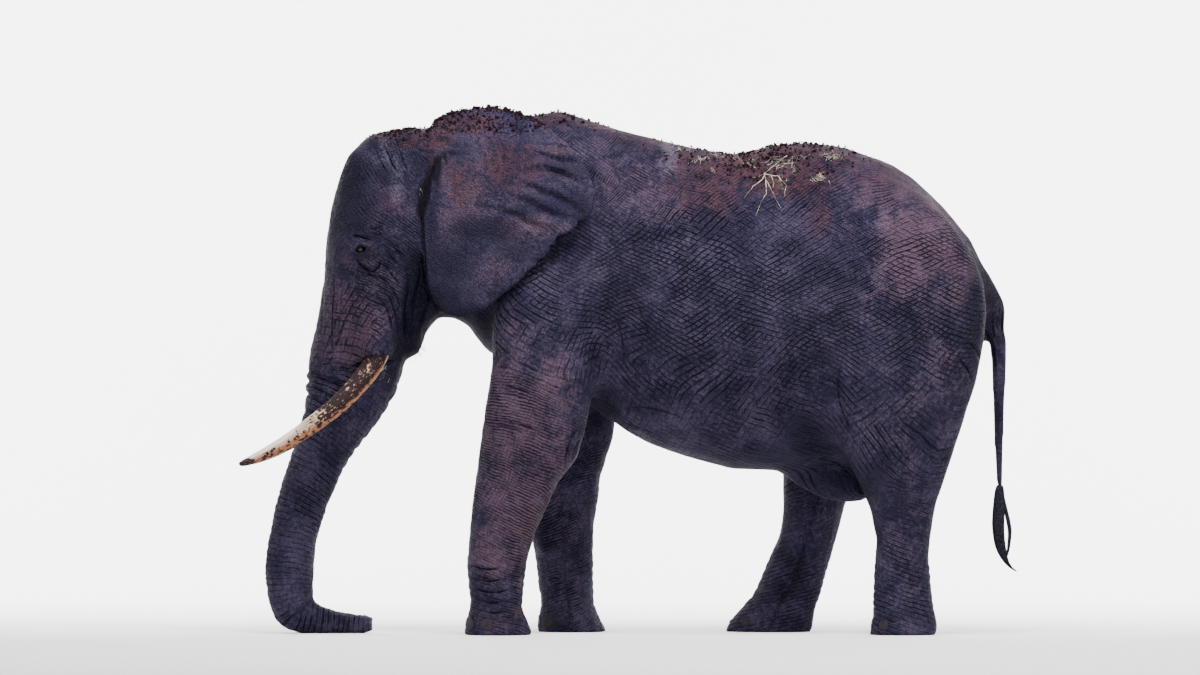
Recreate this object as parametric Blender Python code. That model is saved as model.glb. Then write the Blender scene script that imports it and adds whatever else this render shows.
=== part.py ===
"""A bull African savanna elephant, life size and still, standing side on with its head low.

The trunk hangs to the ground and its tip lies back towards the feet. The left foreleg leans
forward under the shoulder and the right hind leg is stepping ahead of the left one.
Metres, +Z up, head towards -X, so the animal's left side is at -Y. The origin is on the floor,
under the middle of the animal's box.

The flesh is swept from sections, fused by a voxel remesh, smoothed, given its hollows and
swellings, and then parted by thin straight cuts into the parts that a person would name.
"""

import math
from collections import namedtuple

import bmesh
import bpy
import numpy as np
from mathutils import Matrix, Vector

# Driving dimensions of the animal.
SIZE = 1.0  # 1 is the bull of the tables below, 3.30 m high at the withers
LEFT, RIGHT = -1, 1
GAP = 0.0003  # clearance between two solids that touch

FLESH_VOXEL = 0.03
TRUNK_VOXEL = 0.024
FLESH_TRIANGLES = 2750

EYE_RADIUS = 0.021
EYE_PLACE = (-1.694, 2.437)  # x and z
EYE_PROUD = 0.010  # how far the eyeball stands out of the cheek
NAIL_SIZE = (0.105, 0.030, 0.085)  # width, thickness and height of a forefoot's nail
NAIL_LEVEL = 0.066
NAIL_REACH = 0.36  # farther from the middle of a foot than its rim, nearer than the next leg
TAIL_SIDES = 8
TUSK_SIDES = 12

HIDE = ("hide", (0.11, 0.09, 0.12, 1), 0.85)
IVORY = ("ivory", (0.50, 0.40, 0.33, 1), 0.45)
HORN = ("toenail", (0.24, 0.20, 0.18, 1), 0.6)
EYE = ("eye", (0.05, 0.03, 0.02, 1), 0.1)
HAIR = ("tail_hair", (0.03, 0.03, 0.04, 1), 0.6)

# A section of a swept form: its centre, its reach forward (or down), its reach back (or up),
# its half width across the animal, and how square it is (2 is an ellipse).
Section = namedtuple("Section", "x y z fore aft side square")

# The neck and barrel, in upright slices: x, keel, widest level, spine, half width, squareness.
BARREL = (
    (-1.330, 2.080, 2.560, 3.130, 0.300, 2.0),  # nape, inside the skull
    (-1.200, 2.010, 2.500, 3.195, 0.335, 2.0),  # throat
    (-1.020, 1.930, 2.480, 3.235, 0.355, 2.0),  # neck, between the ears
    (-0.930, 1.800, 2.460, 3.250, 0.370, 2.0),  # breast
    (-0.694, 1.680, 2.420, 3.262, 0.415, 2.0),  # root of the neck
    (-0.453, 1.560, 2.299, 3.306, 0.455, 2.0),  # withers
    (-0.187, 1.380, 2.173, 3.228, 0.510, 2.0),  # behind the shoulder blade
    (0.130, 1.195, 2.080, 3.140, 0.575, 2.08),  # ribs
    (0.447, 1.085, 2.030, 3.070, 0.625, 2.08),  # saddle
    (0.732, 1.030, 2.020, 3.042, 0.650, 2.08),  # deepest part of the belly
    (0.875, 1.030, 2.050, 3.094, 0.648, 2.08),
    (1.017, 1.030, 2.080, 3.108, 0.636, 2.08),  # flank
    (1.270, 1.030, 2.150, 3.098, 0.605, 2.05),  # croup
    (1.523, 1.060, 2.180, 3.024, 0.560, 2.0),  # hip bones
    (1.745, 1.150, 2.200, 2.922, 0.500, 2.0),
    (1.935, 1.300, 2.200, 2.765, 0.420, 2.0),  # rump
    (2.093, 1.520, 2.170, 2.590, 0.320, 2.0),
    (2.205, 1.760, 2.120, 2.455, 0.190, 2.0),  # pin bones
    (2.290, 1.900, 2.060, 2.250, 0.100, 2.0),  # root of the tail
)

# The skull, in level slices: z, foremost x, hindmost x, half width, squareness.
SKULL = (
    (3.195, -1.400, -1.090, 0.110, 2.0),
    (3.165, -1.625, -1.020, 0.206, 2.1),  # crown
    (3.110, -1.710, -1.000, 0.278, 2.2),
    (3.000, -1.810, -0.990, 0.336, 2.3),  # forehead
    (2.850, -1.860, -1.000, 0.360, 2.3),  # temples
    (2.650, -1.906, -1.040, 0.374, 2.3),
    (2.489, -1.930, -1.080, 0.384, 2.2),  # eyes
    (2.330, -1.935, -1.160, 0.374, 2.2),  # cheekbones
    (2.180, -1.950, -1.260, 0.341, 2.2),
    (2.020, -1.975, -1.330, 0.307, 2.2),
    (1.880, -2.003, -1.390, 0.276, 2.2),  # above the tusks
    (1.790, -2.015, -1.440, 0.248, 2.1),
    (1.730, -1.995, -1.500, 0.212, 2.0),
)

# The trunk, from inside the face to the finger tips: x, z, half depth, half width.
TRUNK = (
    (-1.690, 2.050, 0.250, 0.190),
    (-1.705, 1.880, 0.290, 0.225),
    (-1.728, 1.720, 0.298, 0.230),  # between the tusks
    (-1.756, 1.600, 0.290, 0.220),
    (-1.800, 1.476, 0.262, 0.205),
    (-1.856, 1.349, 0.224, 0.190),
    (-1.920, 1.222, 0.190, 0.178),
    (-1.972, 1.096, 0.172, 0.168),
    (-2.022, 0.969, 0.165, 0.162),
    (-2.066, 0.842, 0.160, 0.157),
    (-2.103, 0.716, 0.158, 0.153),
    (-2.132, 0.589, 0.156, 0.151),
    (-2.149, 0.462, 0.155, 0.149),
    (-2.154, 0.336, 0.151, 0.146),
    (-2.146, 0.225, 0.144, 0.140),
    (-2.112, 0.140, 0.132, 0.128),  # the bend on the ground
    (-2.045, 0.100, 0.108, 0.110),
    (-1.950, 0.080, 0.086, 0.094),
    (-1.840, 0.066, 0.070, 0.082),
    (-1.735, 0.060, 0.062, 0.078),
    (-1.660, 0.056, 0.056, 0.074),  # fingers
    (-1.625, 0.054, 0.036, 0.050),
)

# The left foreleg, in level slices from the shoulder blade: z, x, y, half depth, half width.
FORELEG_LEFT = (
    (3.080, -0.330, 0.117, 0.110, 0.060),
    (2.900, -0.370, 0.207, 0.210, 0.110),  # shoulder blade
    (2.616, -0.430, 0.297, 0.285, 0.160),
    (2.300, -0.495, 0.342, 0.335, 0.178),  # point of the shoulder
    (2.000, -0.535, 0.378, 0.345, 0.200),
    (1.666, -0.538, 0.383, 0.345, 0.200),  # upper arm
    (1.444, -0.562, 0.373, 0.345, 0.200),
    (1.260, -0.610, 0.360, 0.330, 0.190),
    (1.096, -0.648, 0.347, 0.312, 0.185),  # elbow
    (0.969, -0.704, 0.335, 0.270, 0.178),
    (0.842, -0.746, 0.326, 0.246, 0.174),
    (0.716, -0.780, 0.319, 0.225, 0.178),
    (0.589, -0.814, 0.313, 0.204, 0.178),  # knee
    (0.462, -0.838, 0.310, 0.192, 0.174),
    (0.336, -0.842, 0.306, 0.180, 0.165),
    (0.230, -0.840, 0.306, 0.170, 0.160),  # ankle
    (0.150, -0.836, 0.306, 0.172, 0.168),
    (0.080, -0.836, 0.306, 0.200, 0.200),
    (0.020, -0.826, 0.306, 0.225, 0.222),  # sole
    (-0.060, -0.826, 0.306, 0.225, 0.222),
)

# The right foreleg stands straight under the shoulder.
FORELEG_RIGHT = (
    (3.080, -0.330, 0.117, 0.110, 0.060),
    (2.900, -0.370, 0.207, 0.210, 0.110),
    (2.616, -0.420, 0.297, 0.285, 0.160),
    (2.300, -0.460, 0.342, 0.335, 0.178),
    (2.000, -0.470, 0.378, 0.345, 0.200),
    (1.666, -0.455, 0.383, 0.345, 0.200),
    (1.444, -0.420, 0.373, 0.350, 0.200),
    (1.260, -0.415, 0.360, 0.335, 0.190),
    (1.096, -0.440, 0.347, 0.300, 0.185),
    (0.969, -0.445, 0.335, 0.265, 0.178),
    (0.842, -0.440, 0.326, 0.240, 0.174),
    (0.716, -0.434, 0.319, 0.220, 0.178),
    (0.589, -0.424, 0.313, 0.200, 0.176),
    (0.462, -0.412, 0.310, 0.188, 0.172),
    (0.336, -0.405, 0.306, 0.180, 0.165),
    (0.230, -0.398, 0.306, 0.172, 0.160),
    (0.150, -0.394, 0.306, 0.174, 0.168),
    (0.080, -0.380, 0.306, 0.202, 0.200),
    (0.020, -0.370, 0.306, 0.228, 0.222),
    (-0.060, -0.370, 0.306, 0.228, 0.222),
)

# The left hind leg, from the hip, columns as the forelegs.
HIND_LEG_LEFT = (
    (2.860, 1.600, 0.184, 0.160, 0.110),
    (2.650, 1.650, 0.276, 0.320, 0.190),  # hip
    (2.426, 1.700, 0.340, 0.430, 0.230),
    (2.109, 1.722, 0.377, 0.520, 0.248),
    (1.856, 1.700, 0.377, 0.530, 0.243),  # thigh
    (1.603, 1.672, 0.368, 0.514, 0.235),
    (1.349, 1.660, 0.359, 0.446, 0.220),
    (1.096, 1.688, 0.345, 0.338, 0.203),  # knee
    (0.969, 1.706, 0.336, 0.278, 0.195),
    (0.842, 1.713, 0.327, 0.224, 0.178),
    (0.716, 1.718, 0.322, 0.192, 0.165),
    (0.589, 1.718, 0.317, 0.176, 0.156),  # shank
    (0.462, 1.714, 0.313, 0.174, 0.152),
    (0.336, 1.714, 0.308, 0.183, 0.152),  # heel
    (0.209, 1.714, 0.308, 0.194, 0.158),
    (0.100, 1.728, 0.308, 0.206, 0.176),
    (0.020, 1.716, 0.308, 0.222, 0.190),  # sole
    (-0.060, 1.716, 0.308, 0.222, 0.190),
)

# The right hind leg steps ahead: its shank slopes forward to the foot.
HIND_LEG_RIGHT = (
    (2.860, 1.600, 0.184, 0.160, 0.110),
    (2.650, 1.640, 0.276, 0.320, 0.190),
    (2.426, 1.660, 0.340, 0.430, 0.230),
    (2.109, 1.640, 0.377, 0.500, 0.248),
    (1.856, 1.570, 0.377, 0.500, 0.243),
    (1.603, 1.480, 0.368, 0.465, 0.235),
    (1.349, 1.380, 0.359, 0.395, 0.220),
    (1.096, 1.275, 0.345, 0.300, 0.205),
    (0.969, 1.225, 0.336, 0.250, 0.190),
    (0.842, 1.186, 0.327, 0.210, 0.175),
    (0.716, 1.162, 0.322, 0.192, 0.163),
    (0.589, 1.132, 0.317, 0.192, 0.156),
    (0.462, 1.086, 0.313, 0.205, 0.152),
    (0.336, 1.044, 0.308, 0.208, 0.154),
    (0.209, 0.990, 0.308, 0.222, 0.162),
    (0.110, 0.925, 0.308, 0.262, 0.180),
    (0.020, 0.885, 0.308, 0.288, 0.192),
    (-0.060, 0.885, 0.308, 0.288, 0.192),
)

# The lower jaw, from its hinge under the ear to the lip: x, z, half depth, half width.
JAW = (
    (-1.300, 2.420, 0.160, 0.330),
    (-1.320, 2.250, 0.190, 0.330),
    (-1.360, 2.080, 0.175, 0.270),
    (-1.396, 1.940, 0.132, 0.200),
    (-1.398, 1.840, 0.098, 0.130),
    (-1.386, 1.744, 0.066, 0.080),  # lower lip
)

# The sheath of each tusk, from the cheek to the lip: x, y, z, radius.
TUSK_SHEATH = (
    (-1.640, 0.225, 2.250, 0.100),
    (-1.620, 0.240, 2.050, 0.125),
    (-1.603, 0.252, 1.880, 0.124),
    (-1.600, 0.260, 1.770, 0.110),
    (-1.608, 0.264, 1.722, 0.092),
)

# The fold of skin that carries the penis sheath, along the belly: x, z, half depth, half width.
PREPUCE = (
    (0.950, 1.090, 0.060, 0.080),
    (1.100, 1.010, 0.090, 0.090),
    (1.270, 0.950, 0.110, 0.100),
    (1.400, 0.930, 0.110, 0.100),
    (1.500, 0.960, 0.110, 0.100),
    (1.620, 1.060, 0.090, 0.080),
)

# The root of the tail, which is part of the rump: x, z, half depth, half width.
TAIL_ROOT = (
    (2.225, 2.310, 0.070, 0.085),
    (2.285, 2.170, 0.082, 0.090),
    (2.320, 2.060, 0.100, 0.086),
    (2.328, 1.930, 0.082, 0.076),
    (2.336, 1.800, 0.074, 0.070),
)
TAIL_ROOT_END = 1.870  # level at which the free tail begins

# The free tail, from that level down, columns as above.
TAIL = (
    (2.331, 1.870, 0.058, 0.058),
    (2.338, 1.780, 0.052, 0.053),
    (2.340, 1.603, 0.043, 0.046),
    (2.338, 1.349, 0.034, 0.038),
    (2.341, 1.096, 0.026, 0.030),
    (2.346, 0.902, 0.020, 0.023),
)
TAIL_PARTING = 1.350  # level between its two lengths

# The brush at the end of the tail.
TAIL_TUFT = (
    (2.346, 0.902, 0.024, 0.020),
    (2.336, 0.800, 0.036, 0.022),
    (2.334, 0.690, 0.042, 0.022),
    (2.340, 0.590, 0.038, 0.020),
    (2.362, 0.510, 0.026, 0.016),
    (2.400, 0.445, 0.016, 0.012),
    (2.455, 0.392, 0.006, 0.006),
)

# The toenails: foot, flank, middle of the sole, its half depth and half width, the nails'
# bearings in degrees from straight ahead (outwards positive) and their share of full size.
FEET = (
    ("forefoot", LEFT, (-0.836, 0.306), (0.203, 0.203), (-48, -8, 32, 72), 1.0),
    ("forefoot", RIGHT, (-0.378, 0.306), (0.206, 0.203), (-48, -8, 32, 72), 1.0),
    ("hindfoot", LEFT, (1.722, 0.308), (0.210, 0.180), (-42, 2, 46), 0.85),
    ("hindfoot", RIGHT, (0.900, 0.308), (0.268, 0.182), (-40, 2, 44), 0.85),
)

# A tusk, from inside its sheath to the tip: x, y, z, radius.
TUSK = (
    (-1.560, 0.250, 1.830, 0.067),
    (-1.605, 0.266, 1.717, 0.068),
    (-1.690, 0.298, 1.600, 0.067),
    (-1.800, 0.328, 1.480, 0.064),
    (-1.930, 0.352, 1.368, 0.059),
    (-2.087, 0.368, 1.256, 0.052),
    (-2.240, 0.372, 1.165, 0.043),
    (-2.360, 0.366, 1.106, 0.032),
    (-2.430, 0.361, 1.080, 0.021),
    (-2.458, 0.358, 1.072, 0.009),
)

# The ear's rim seen from the side, in order round it: x, z.
EAR_RIM = (
    (-1.268, 3.020),  # top of the root
    (-1.290, 3.185),
    (-1.180, 3.276),
    (-0.947, 3.328),  # crest
    (-0.800, 3.324),
    (-0.640, 3.272),
    (-0.350, 3.050),
    (-0.212, 2.800),  # hindmost
    (-0.250, 2.630),
    (-0.405, 2.500),
    (-0.567, 2.331),
    (-0.820, 2.109),
    (-1.010, 1.990),
    (-1.120, 1.980),  # lobe
    (-1.225, 2.080),
    (-1.300, 2.300),
    (-1.315, 2.600),  # root
    (-1.290, 2.850),
)
EAR_HUB = (-0.86, 2.66)
EAR_RINGS, EAR_SPOKES = 5, 30
EAR_THICKNESS = 0.034
EAR_CLEAR = (0.014, 0.070)  # how far its face stands off the flesh, at the root and behind it

# The straight slits that part the flesh, each GAP wide, square to the middle plane: one end
# (x, z), the other end, and the reach across (from y, to y).
SLITS = (
    ((-1.375, 3.360), (-1.175, 1.800), (-0.8, 0.8)),  # head from neck
    ((-0.556, 3.324), (-0.958, 1.776), (-0.8, 0.8)),  # neck from barrel
    ((-1.440, 1.692), (-1.238, 2.304), (-0.8, 0.8)),  # jaw from cheek
    ((-2.150, 1.660), (-1.300, 1.700), (-0.8, 0.8)),  # trunk from face
    ((-2.180, 1.355), (-1.620, 1.073), (-0.4, 0.4)),
    ((-2.360, 0.786), (-1.850, 0.647), (-0.4, 0.4)),
    ((-2.400, 0.235), (-1.900, 0.235), (-0.4, 0.4)),
    ((-1.000, 1.815), (-0.020, 1.208), (-0.8, 0.8)),  # forelegs from breast
    ((1.380, 0.790), (2.100, 1.040), (-0.8, 0.0)),  # hind legs from thighs
    ((0.800, 0.830), (1.700, 1.010), (0.0, 0.8)),
    ((-1.140, 0.180), (-0.610, 0.180), (-0.7, 0.0)),  # feet from legs
    ((-0.700, 0.180), (-0.100, 0.180), (0.0, 0.7)),
    ((1.400, 0.180), (2.050, 0.180), (-0.7, 0.0)),
    ((0.600, 0.180), (1.350, 0.180), (0.0, 0.7)),
)

# Blocks that flatten the flesh: the ground under the feet and the end of the tail's root.
FLATS = (
    ("ground", (0, 0, -1.0), (8, 4, 2)),
    ("tail_end", (2.40, 0, TAIL_ROOT_END - 0.1), (0.27, 0.4, 0.2)),
)

# Every part of the flesh, by a point near which only it has skin: x, y, z.
FLESH_PARTS = (
    ("torso", (0.60, 0.0, 1.03)),
    ("neck", (-1.05, 0.0, 3.25)),
    ("head", (-1.80, 0.0, 3.00)),
    ("jaw", (-1.37, 0.0, 1.75)),
    ("trunk_base", (-2.05, 0.0, 1.45)),
    ("trunk_middle", (-2.18, 0.0, 0.95)),
    ("trunk_lower", (-2.30, 0.0, 0.50)),
    ("trunk_tip", (-1.64, 0.0, 0.05)),
    ("foreleg_left", (-0.83, -0.53, 0.50)),
    ("foreleg_right", (-0.41, 0.53, 0.50)),
    ("forefoot_left", (-0.83, -0.55, 0.02)),
    ("forefoot_right", (-0.37, 0.55, 0.02)),
    ("hindleg_left", (1.72, -0.50, 0.50)),
    ("hindleg_right", (1.10, 0.50, 0.50)),
    ("hindfoot_left", (1.72, -0.52, 0.02)),
    ("hindfoot_right", (0.88, 0.52, 0.02)),
)

# Hollows and swellings of the flesh: place (mirrored to both sides), reach along x, y and z,
# and how far the surface moves out of the body there.
FORMS = (
    ((-1.500, 0.346, 2.840), (0.100, 0.200, 0.140), -0.050),  # temple
    ((-1.640, 0.326, 2.640), (0.140, 0.200, 0.055), 0.030),  # brow
    ((-1.420, 0.403, 2.450), (0.150, 0.200, 0.070), 0.026),  # cheekbone
    ((-1.560, 0.365, 2.310), (0.110, 0.200, 0.090), -0.022),  # below the eye
    ((-1.330, 0.346, 2.200), (0.045, 0.200, 0.220), -0.030),  # between cheek and jaw
    ((-1.790, 0.000, 3.020), (0.100, 0.060, 0.140), -0.016),  # cleft of the forehead
    ((-1.840, 0.000, 2.420), (0.120, 0.110, 0.260), -0.012),  # bridge of the nose
    ((-1.100, 0.331, 2.350), (0.130, 0.200, 0.300), -0.030),  # neck behind the jaw
    ((-0.820, 0.365, 2.560), (0.160, 0.240, 0.420), -0.050),  # neck before the shoulder
    ((-0.470, 0.157, 3.080), (0.160, 0.100, 0.160), 0.016),  # crest of the shoulder blade
    ((-0.050, 0.487, 2.300), (0.130, 0.200, 0.480), -0.030),  # behind the shoulder
    ((-0.160, 0.435, 1.700), (0.110, 0.240, 0.260), -0.035),  # armpit
    ((-0.420, 0.513, 1.170), (0.080, 0.140, 0.100), 0.018),  # elbow
    ((0.950, 0.574, 2.520), (0.200, 0.240, 0.260), -0.034),  # hollow of the flank
    ((1.340, 0.418, 2.800), (0.170, 0.160, 0.130), 0.030),  # hip bone
    ((1.180, 0.574, 1.450), (0.110, 0.240, 0.300), -0.040),  # fold before the thigh
    ((2.060, 0.287, 2.120), (0.110, 0.160, 0.260), 0.022),  # buttock
    ((2.140, 0.000, 2.020), (0.200, 0.070, 0.300), -0.060),  # cleft under the tail
)


def smooth_rows(rows, count):
    """Rows at even steps along a smooth curve through the given rows (Catmull-Rom, by chord)."""
    rows = np.array(rows, float)
    step = np.linalg.norm(np.diff(rows[:, :3], axis=0), axis=1)
    along = np.concatenate([[0], np.cumsum(step)])
    slope = np.diff(rows, axis=0) / step[:, None]
    bend = np.empty_like(rows)
    bend[0], bend[-1] = slope[0], slope[-1]
    before, after = step[:-1, None], step[1:, None]
    bend[1:-1] = (slope[:-1] * after + slope[1:] * before) / (before + after)
    at = np.linspace(0, along[-1], count)
    k = np.clip(np.searchsorted(along, at, side="right") - 1, 0, len(step) - 1)
    h = step[k][:, None]
    t = ((at - along[k]) / step[k])[:, None]
    return (
        rows[k] * (1 + 2 * t) * (1 - t) ** 2
        + bend[k] * h * t * (1 - t) ** 2
        + rows[k + 1] * t * t * (3 - 2 * t)
        + bend[k + 1] * h * t * t * (t - 1)
    )


def swept_mesh(sections, rings, sides=28, level=None):
    """(points, faces) of a closed form through the sections, each ring a superellipse square
    to the path, or square to the direction level where that is given."""
    rows = smooth_rows(sections, rings)
    centre = rows[:, :3]
    across = np.array([0.0, 1.0, 0.0])
    if level is None:
        run = np.gradient(centre, axis=0)
        run[:, 1] = 0
        run /= np.linalg.norm(run, axis=1)[:, None]
    else:
        run = np.tile(np.array(level, float), (rings, 1))
    back = np.cross(run, across)
    turn = np.linspace(0, 2 * math.pi, sides, endpoint=False)
    c, s = np.cos(turn), np.sin(turn)
    power = 2 / rows[:, 6:7]
    across_by = rows[:, 5:6] * np.sign(c) * np.abs(c) ** power
    reach = np.where(s > 0, rows[:, 4:5], rows[:, 3:4])
    back_by = reach * np.sign(s) * np.abs(s) ** power
    points = (
        centre[:, None]
        + across_by[..., None] * across
        + back_by[..., None] * back[:, None]
    ).reshape(-1, 3)
    faces = []
    for i in range(rings - 1):
        for j in range(sides):
            a, b = i * sides + j, i * sides + (j + 1) % sides
            faces.append((a, b, b + sides, a + sides))
    faces.append(tuple(range(sides))[::-1])
    last = (rings - 1) * sides
    faces.append(tuple(range(last, last + sides)))
    return points, faces


def from_bmesh(name, work):
    """An object made of this bmesh, in triangles that all face out."""
    bmesh.ops.triangulate(work, faces=work.faces)
    bmesh.ops.recalc_face_normals(work, faces=work.faces)
    mesh = bpy.data.meshes.new(name)
    work.to_mesh(mesh)
    work.free()
    obj = bpy.data.objects.new(name, mesh)
    bpy.context.scene.collection.objects.link(obj)
    return obj


def new_object(name, points, faces):
    """An object made of these points and faces."""
    work = bmesh.new()
    corners = [work.verts.new(p) for p in points]
    for face in faces:
        work.faces.new([corners[i] for i in face])
    return from_bmesh(name, work)


def joined(name, shapes):
    """One object that holds several overlapping shapes, each given as (points, faces)."""
    points, faces, start = [], [], 0
    for p, f in shapes:
        points.extend(p)
        faces.extend(tuple(i + start for i in face) for face in f)
        start += len(p)
    return new_object(name, points, faces)


def apply_modifiers(obj):
    """Replaces the object's mesh by what its modifiers make of it."""
    bpy.context.view_layer.update()
    graph = bpy.context.evaluated_depsgraph_get()
    made = bpy.data.meshes.new_from_object(obj.evaluated_get(graph))
    obj.modifiers.clear()
    old = obj.data
    obj.data = made
    bpy.data.meshes.remove(old)


def delete(obj):
    bpy.data.objects.remove(obj, do_unlink=True)


def boolean(obj, other, operation):
    """Cuts obj by other, or joins it, with the exact solver, and applies it."""
    cut = obj.modifiers.new("cut", "BOOLEAN")
    cut.operation = operation
    cut.solver = "EXACT"
    cut.object = other
    apply_modifiers(obj)


def fuse(obj, voxel, rounds):
    """Makes overlapping shapes one skin and evens it."""
    remesh = obj.modifiers.new("fuse", "REMESH")
    remesh.mode = "VOXEL"
    remesh.voxel_size = voxel
    even = obj.modifiers.new("even", "SMOOTH")
    even.factor = 0.5
    even.iterations = rounds
    apply_modifiers(obj)


def barrel_sections():
    """The neck and barrel as upright sections: fore is the reach down and aft the reach up."""
    return [
        Section(x, 0, mid, mid - keel, spine - mid, side, square)
        for x, keel, mid, spine, side, square in BARREL
    ]


def skull_sections():
    """The skull as level sections, widest behind the eye so that the face narrows forward."""
    wide_at = 0.62  # share of the depth, from the front, where the skull is widest
    found = []
    for z, front, rear, side, square in SKULL:
        x = front + wide_at * (rear - front)
        found.append(Section(x, 0, z, x - front, rear - x, side, square))
    return found


def tube_sections(rows, square=2.0):
    """Sections of a form in the middle plane: x, z, half depth, half width."""
    return [Section(x, 0, z, deep, deep, side, square) for x, z, deep, side in rows]


def leg_sections(rows, flank):
    """Level sections of a leg on one flank: z, x, y, half depth, half width."""
    return [
        Section(x, flank * y, z, deep, deep, side, 2.15)
        for z, x, y, deep, side in rows
    ]


def round_sections(rows, flank):
    """Round sections on one flank: x, y, z, radius."""
    return [Section(x, flank * y, z, r, r, r, 2.0) for x, y, z, r in rows]


def sculpt(obj):
    """Moves the surface along its normals by the listed hollows and swellings."""
    mesh = obj.data
    count = len(mesh.vertices)
    place = np.empty(count * 3, np.float32)
    mesh.vertices.foreach_get("co", place)
    place = place.reshape(-1, 3).astype(float)
    normal = np.empty(count * 3, np.float32)
    mesh.vertices.foreach_get("normal", normal)
    normal = normal.reshape(-1, 3)
    move = np.zeros(count)
    for centre, reach, height in FORMS:
        flanks = (LEFT, RIGHT) if centre[1] else (RIGHT,)
        for flank in flanks:
            middle = np.array([centre[0], flank * centre[1], centre[2]])
            far = ((place - middle) / np.array(reach)) ** 2
            move += height * np.exp(-0.5 * far.sum(axis=1))
    place += normal * move[:, None]
    mesh.vertices.foreach_set("co", place.astype(np.float32).ravel())
    mesh.update()


def make_flesh():
    """The whole body in one piece, but for the ears and the lower tail, flat where it stands."""
    down = (0, 0, -1)
    shapes = [
        swept_mesh(barrel_sections(), 64, 40, (1, 0, 0)),
        swept_mesh(skull_sections(), 40, 36, down),
        swept_mesh(tube_sections(JAW), 20, 24),
        swept_mesh(tube_sections(PREPUCE), 16, 20),
        swept_mesh(tube_sections(TAIL_ROOT), 12, 20),
    ]
    legs = (
        (FORELEG_LEFT, LEFT),
        (FORELEG_RIGHT, RIGHT),
        (HIND_LEG_LEFT, LEFT),
        (HIND_LEG_RIGHT, RIGHT),
    )
    for rows, flank in legs:
        shapes.append(swept_mesh(leg_sections(rows, flank), 60, 32, down))
    for flank in (LEFT, RIGHT):
        shapes.append(swept_mesh(round_sections(TUSK_SHEATH, flank), 16, 20))
    flesh = joined("flesh", shapes)
    fuse(flesh, FLESH_VOXEL, 10)
    sculpt(flesh)

    trunk = new_object("trunk", *swept_mesh(tube_sections(TRUNK, 2.2), 90, 28))
    merge = bmesh.new()
    merge.from_mesh(flesh.data)
    merge.from_mesh(trunk.data)
    merge.to_mesh(flesh.data)
    merge.free()
    delete(trunk)
    fuse(flesh, TRUNK_VOXEL, 4)

    thin = flesh.modifiers.new("thin", "DECIMATE")
    thin.ratio = FLESH_TRIANGLES / sum(len(p.vertices) - 2 for p in flesh.data.polygons)
    apply_modifiers(flesh)

    for name, middle, size in FLATS:
        flat = block(name, middle, size)
        boolean(flesh, flat, "DIFFERENCE")
        delete(flat)
    return flesh


def block(name, middle, size, slope=0):
    """A cutting block of this size, its length sloping up towards the tail by slope."""
    work = bmesh.new()
    bmesh.ops.create_cube(work, size=1)
    turn = Matrix.Rotation(-slope, 4, "Y")
    work.transform(Matrix.Translation(middle) @ turn @ Matrix.Diagonal((*size, 1)))
    mesh = bpy.data.meshes.new(name)
    work.to_mesh(mesh)
    work.free()
    return cutter(bpy.data.objects.new(name, mesh))


def cutter(obj):
    """Links a shape that only cuts, and hides it."""
    obj.hide_render = True
    obj.display_type = "WIRE"
    bpy.context.scene.collection.objects.link(obj)
    return obj


def grown(obj, by=GAP):
    """A hidden copy whose surface stands out by this much, to cut what touches obj."""
    made = cutter(bpy.data.objects.new(obj.name + "_grown", obj.data.copy()))
    push = made.modifiers.new("grow", "DISPLACE")
    push.strength = by
    push.mid_level = 0
    apply_modifiers(made)
    return made


def surface_point(flesh, start, aim):
    """Where a straight line from start towards aim first meets the flesh."""
    start = Vector(start)
    hit, place, _, _ = flesh.ray_cast(start, (Vector(aim) - start).normalized())
    return place if hit else None


def side_name(flank):
    return "left" if flank == LEFT else "right"


def make_tusk(flank):
    """A tusk, round in section, curving out of its sheath, forward and slightly in."""
    points, faces = swept_mesh(round_sections(TUSK, flank), 13, TUSK_SIDES)
    tusk = new_object("tusk_" + side_name(flank), points, faces)
    finish(tusk, IVORY)
    return tusk


def make_eye(flesh, flank):
    """An eyeball set in the cheek so that it stands a little proud."""
    x, z = EYE_PLACE
    surface = surface_point(flesh, (x, flank, z), (x, 0, z))
    centre = surface - Vector((0, flank * (EYE_RADIUS - EYE_PROUD), 0))
    work = bmesh.new()
    bmesh.ops.create_uvsphere(work, u_segments=10, v_segments=8, radius=EYE_RADIUS)
    work.transform(Matrix.Translation(centre) @ Matrix.Rotation(math.pi / 2, 4, "X"))
    eye = from_bmesh("eye_" + side_name(flank), work)
    finish(eye, EYE)
    return eye


def make_nails(flesh):
    """The toenails, each a flattened bean half sunk in the front of the foot."""
    nails = []
    for foot, flank, middle, reach, bearings, share in FEET:
        centre = Vector((middle[0], flank * middle[1], NAIL_LEVEL))
        for i, bearing in enumerate(bearings):
            turn = math.radians(bearing)
            out = Vector((-math.cos(turn), flank * math.sin(turn), 0))
            place = surface_point(flesh, centre + out * NAIL_REACH, centre)
            # The nail's face is square to the foot's oval rim.
            rim = Vector((out.x / reach[0] ** 2, out.y / reach[1] ** 2, 0)).normalized()
            work = bmesh.new()
            bmesh.ops.create_uvsphere(work, u_segments=7, v_segments=5, radius=0.5)
            size = Matrix.Diagonal((*(share * s for s in NAIL_SIZE), 1))
            face = rim.to_track_quat("Y", "Z").to_matrix().to_4x4()
            work.transform(Matrix.Translation(place) @ face @ size)
            name = f"nail_{foot}_{side_name(flank)}_{i + 1}"
            nail = from_bmesh(name, work)
            finish(nail, HORN)
            nails.append(nail)
    return nails


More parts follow.
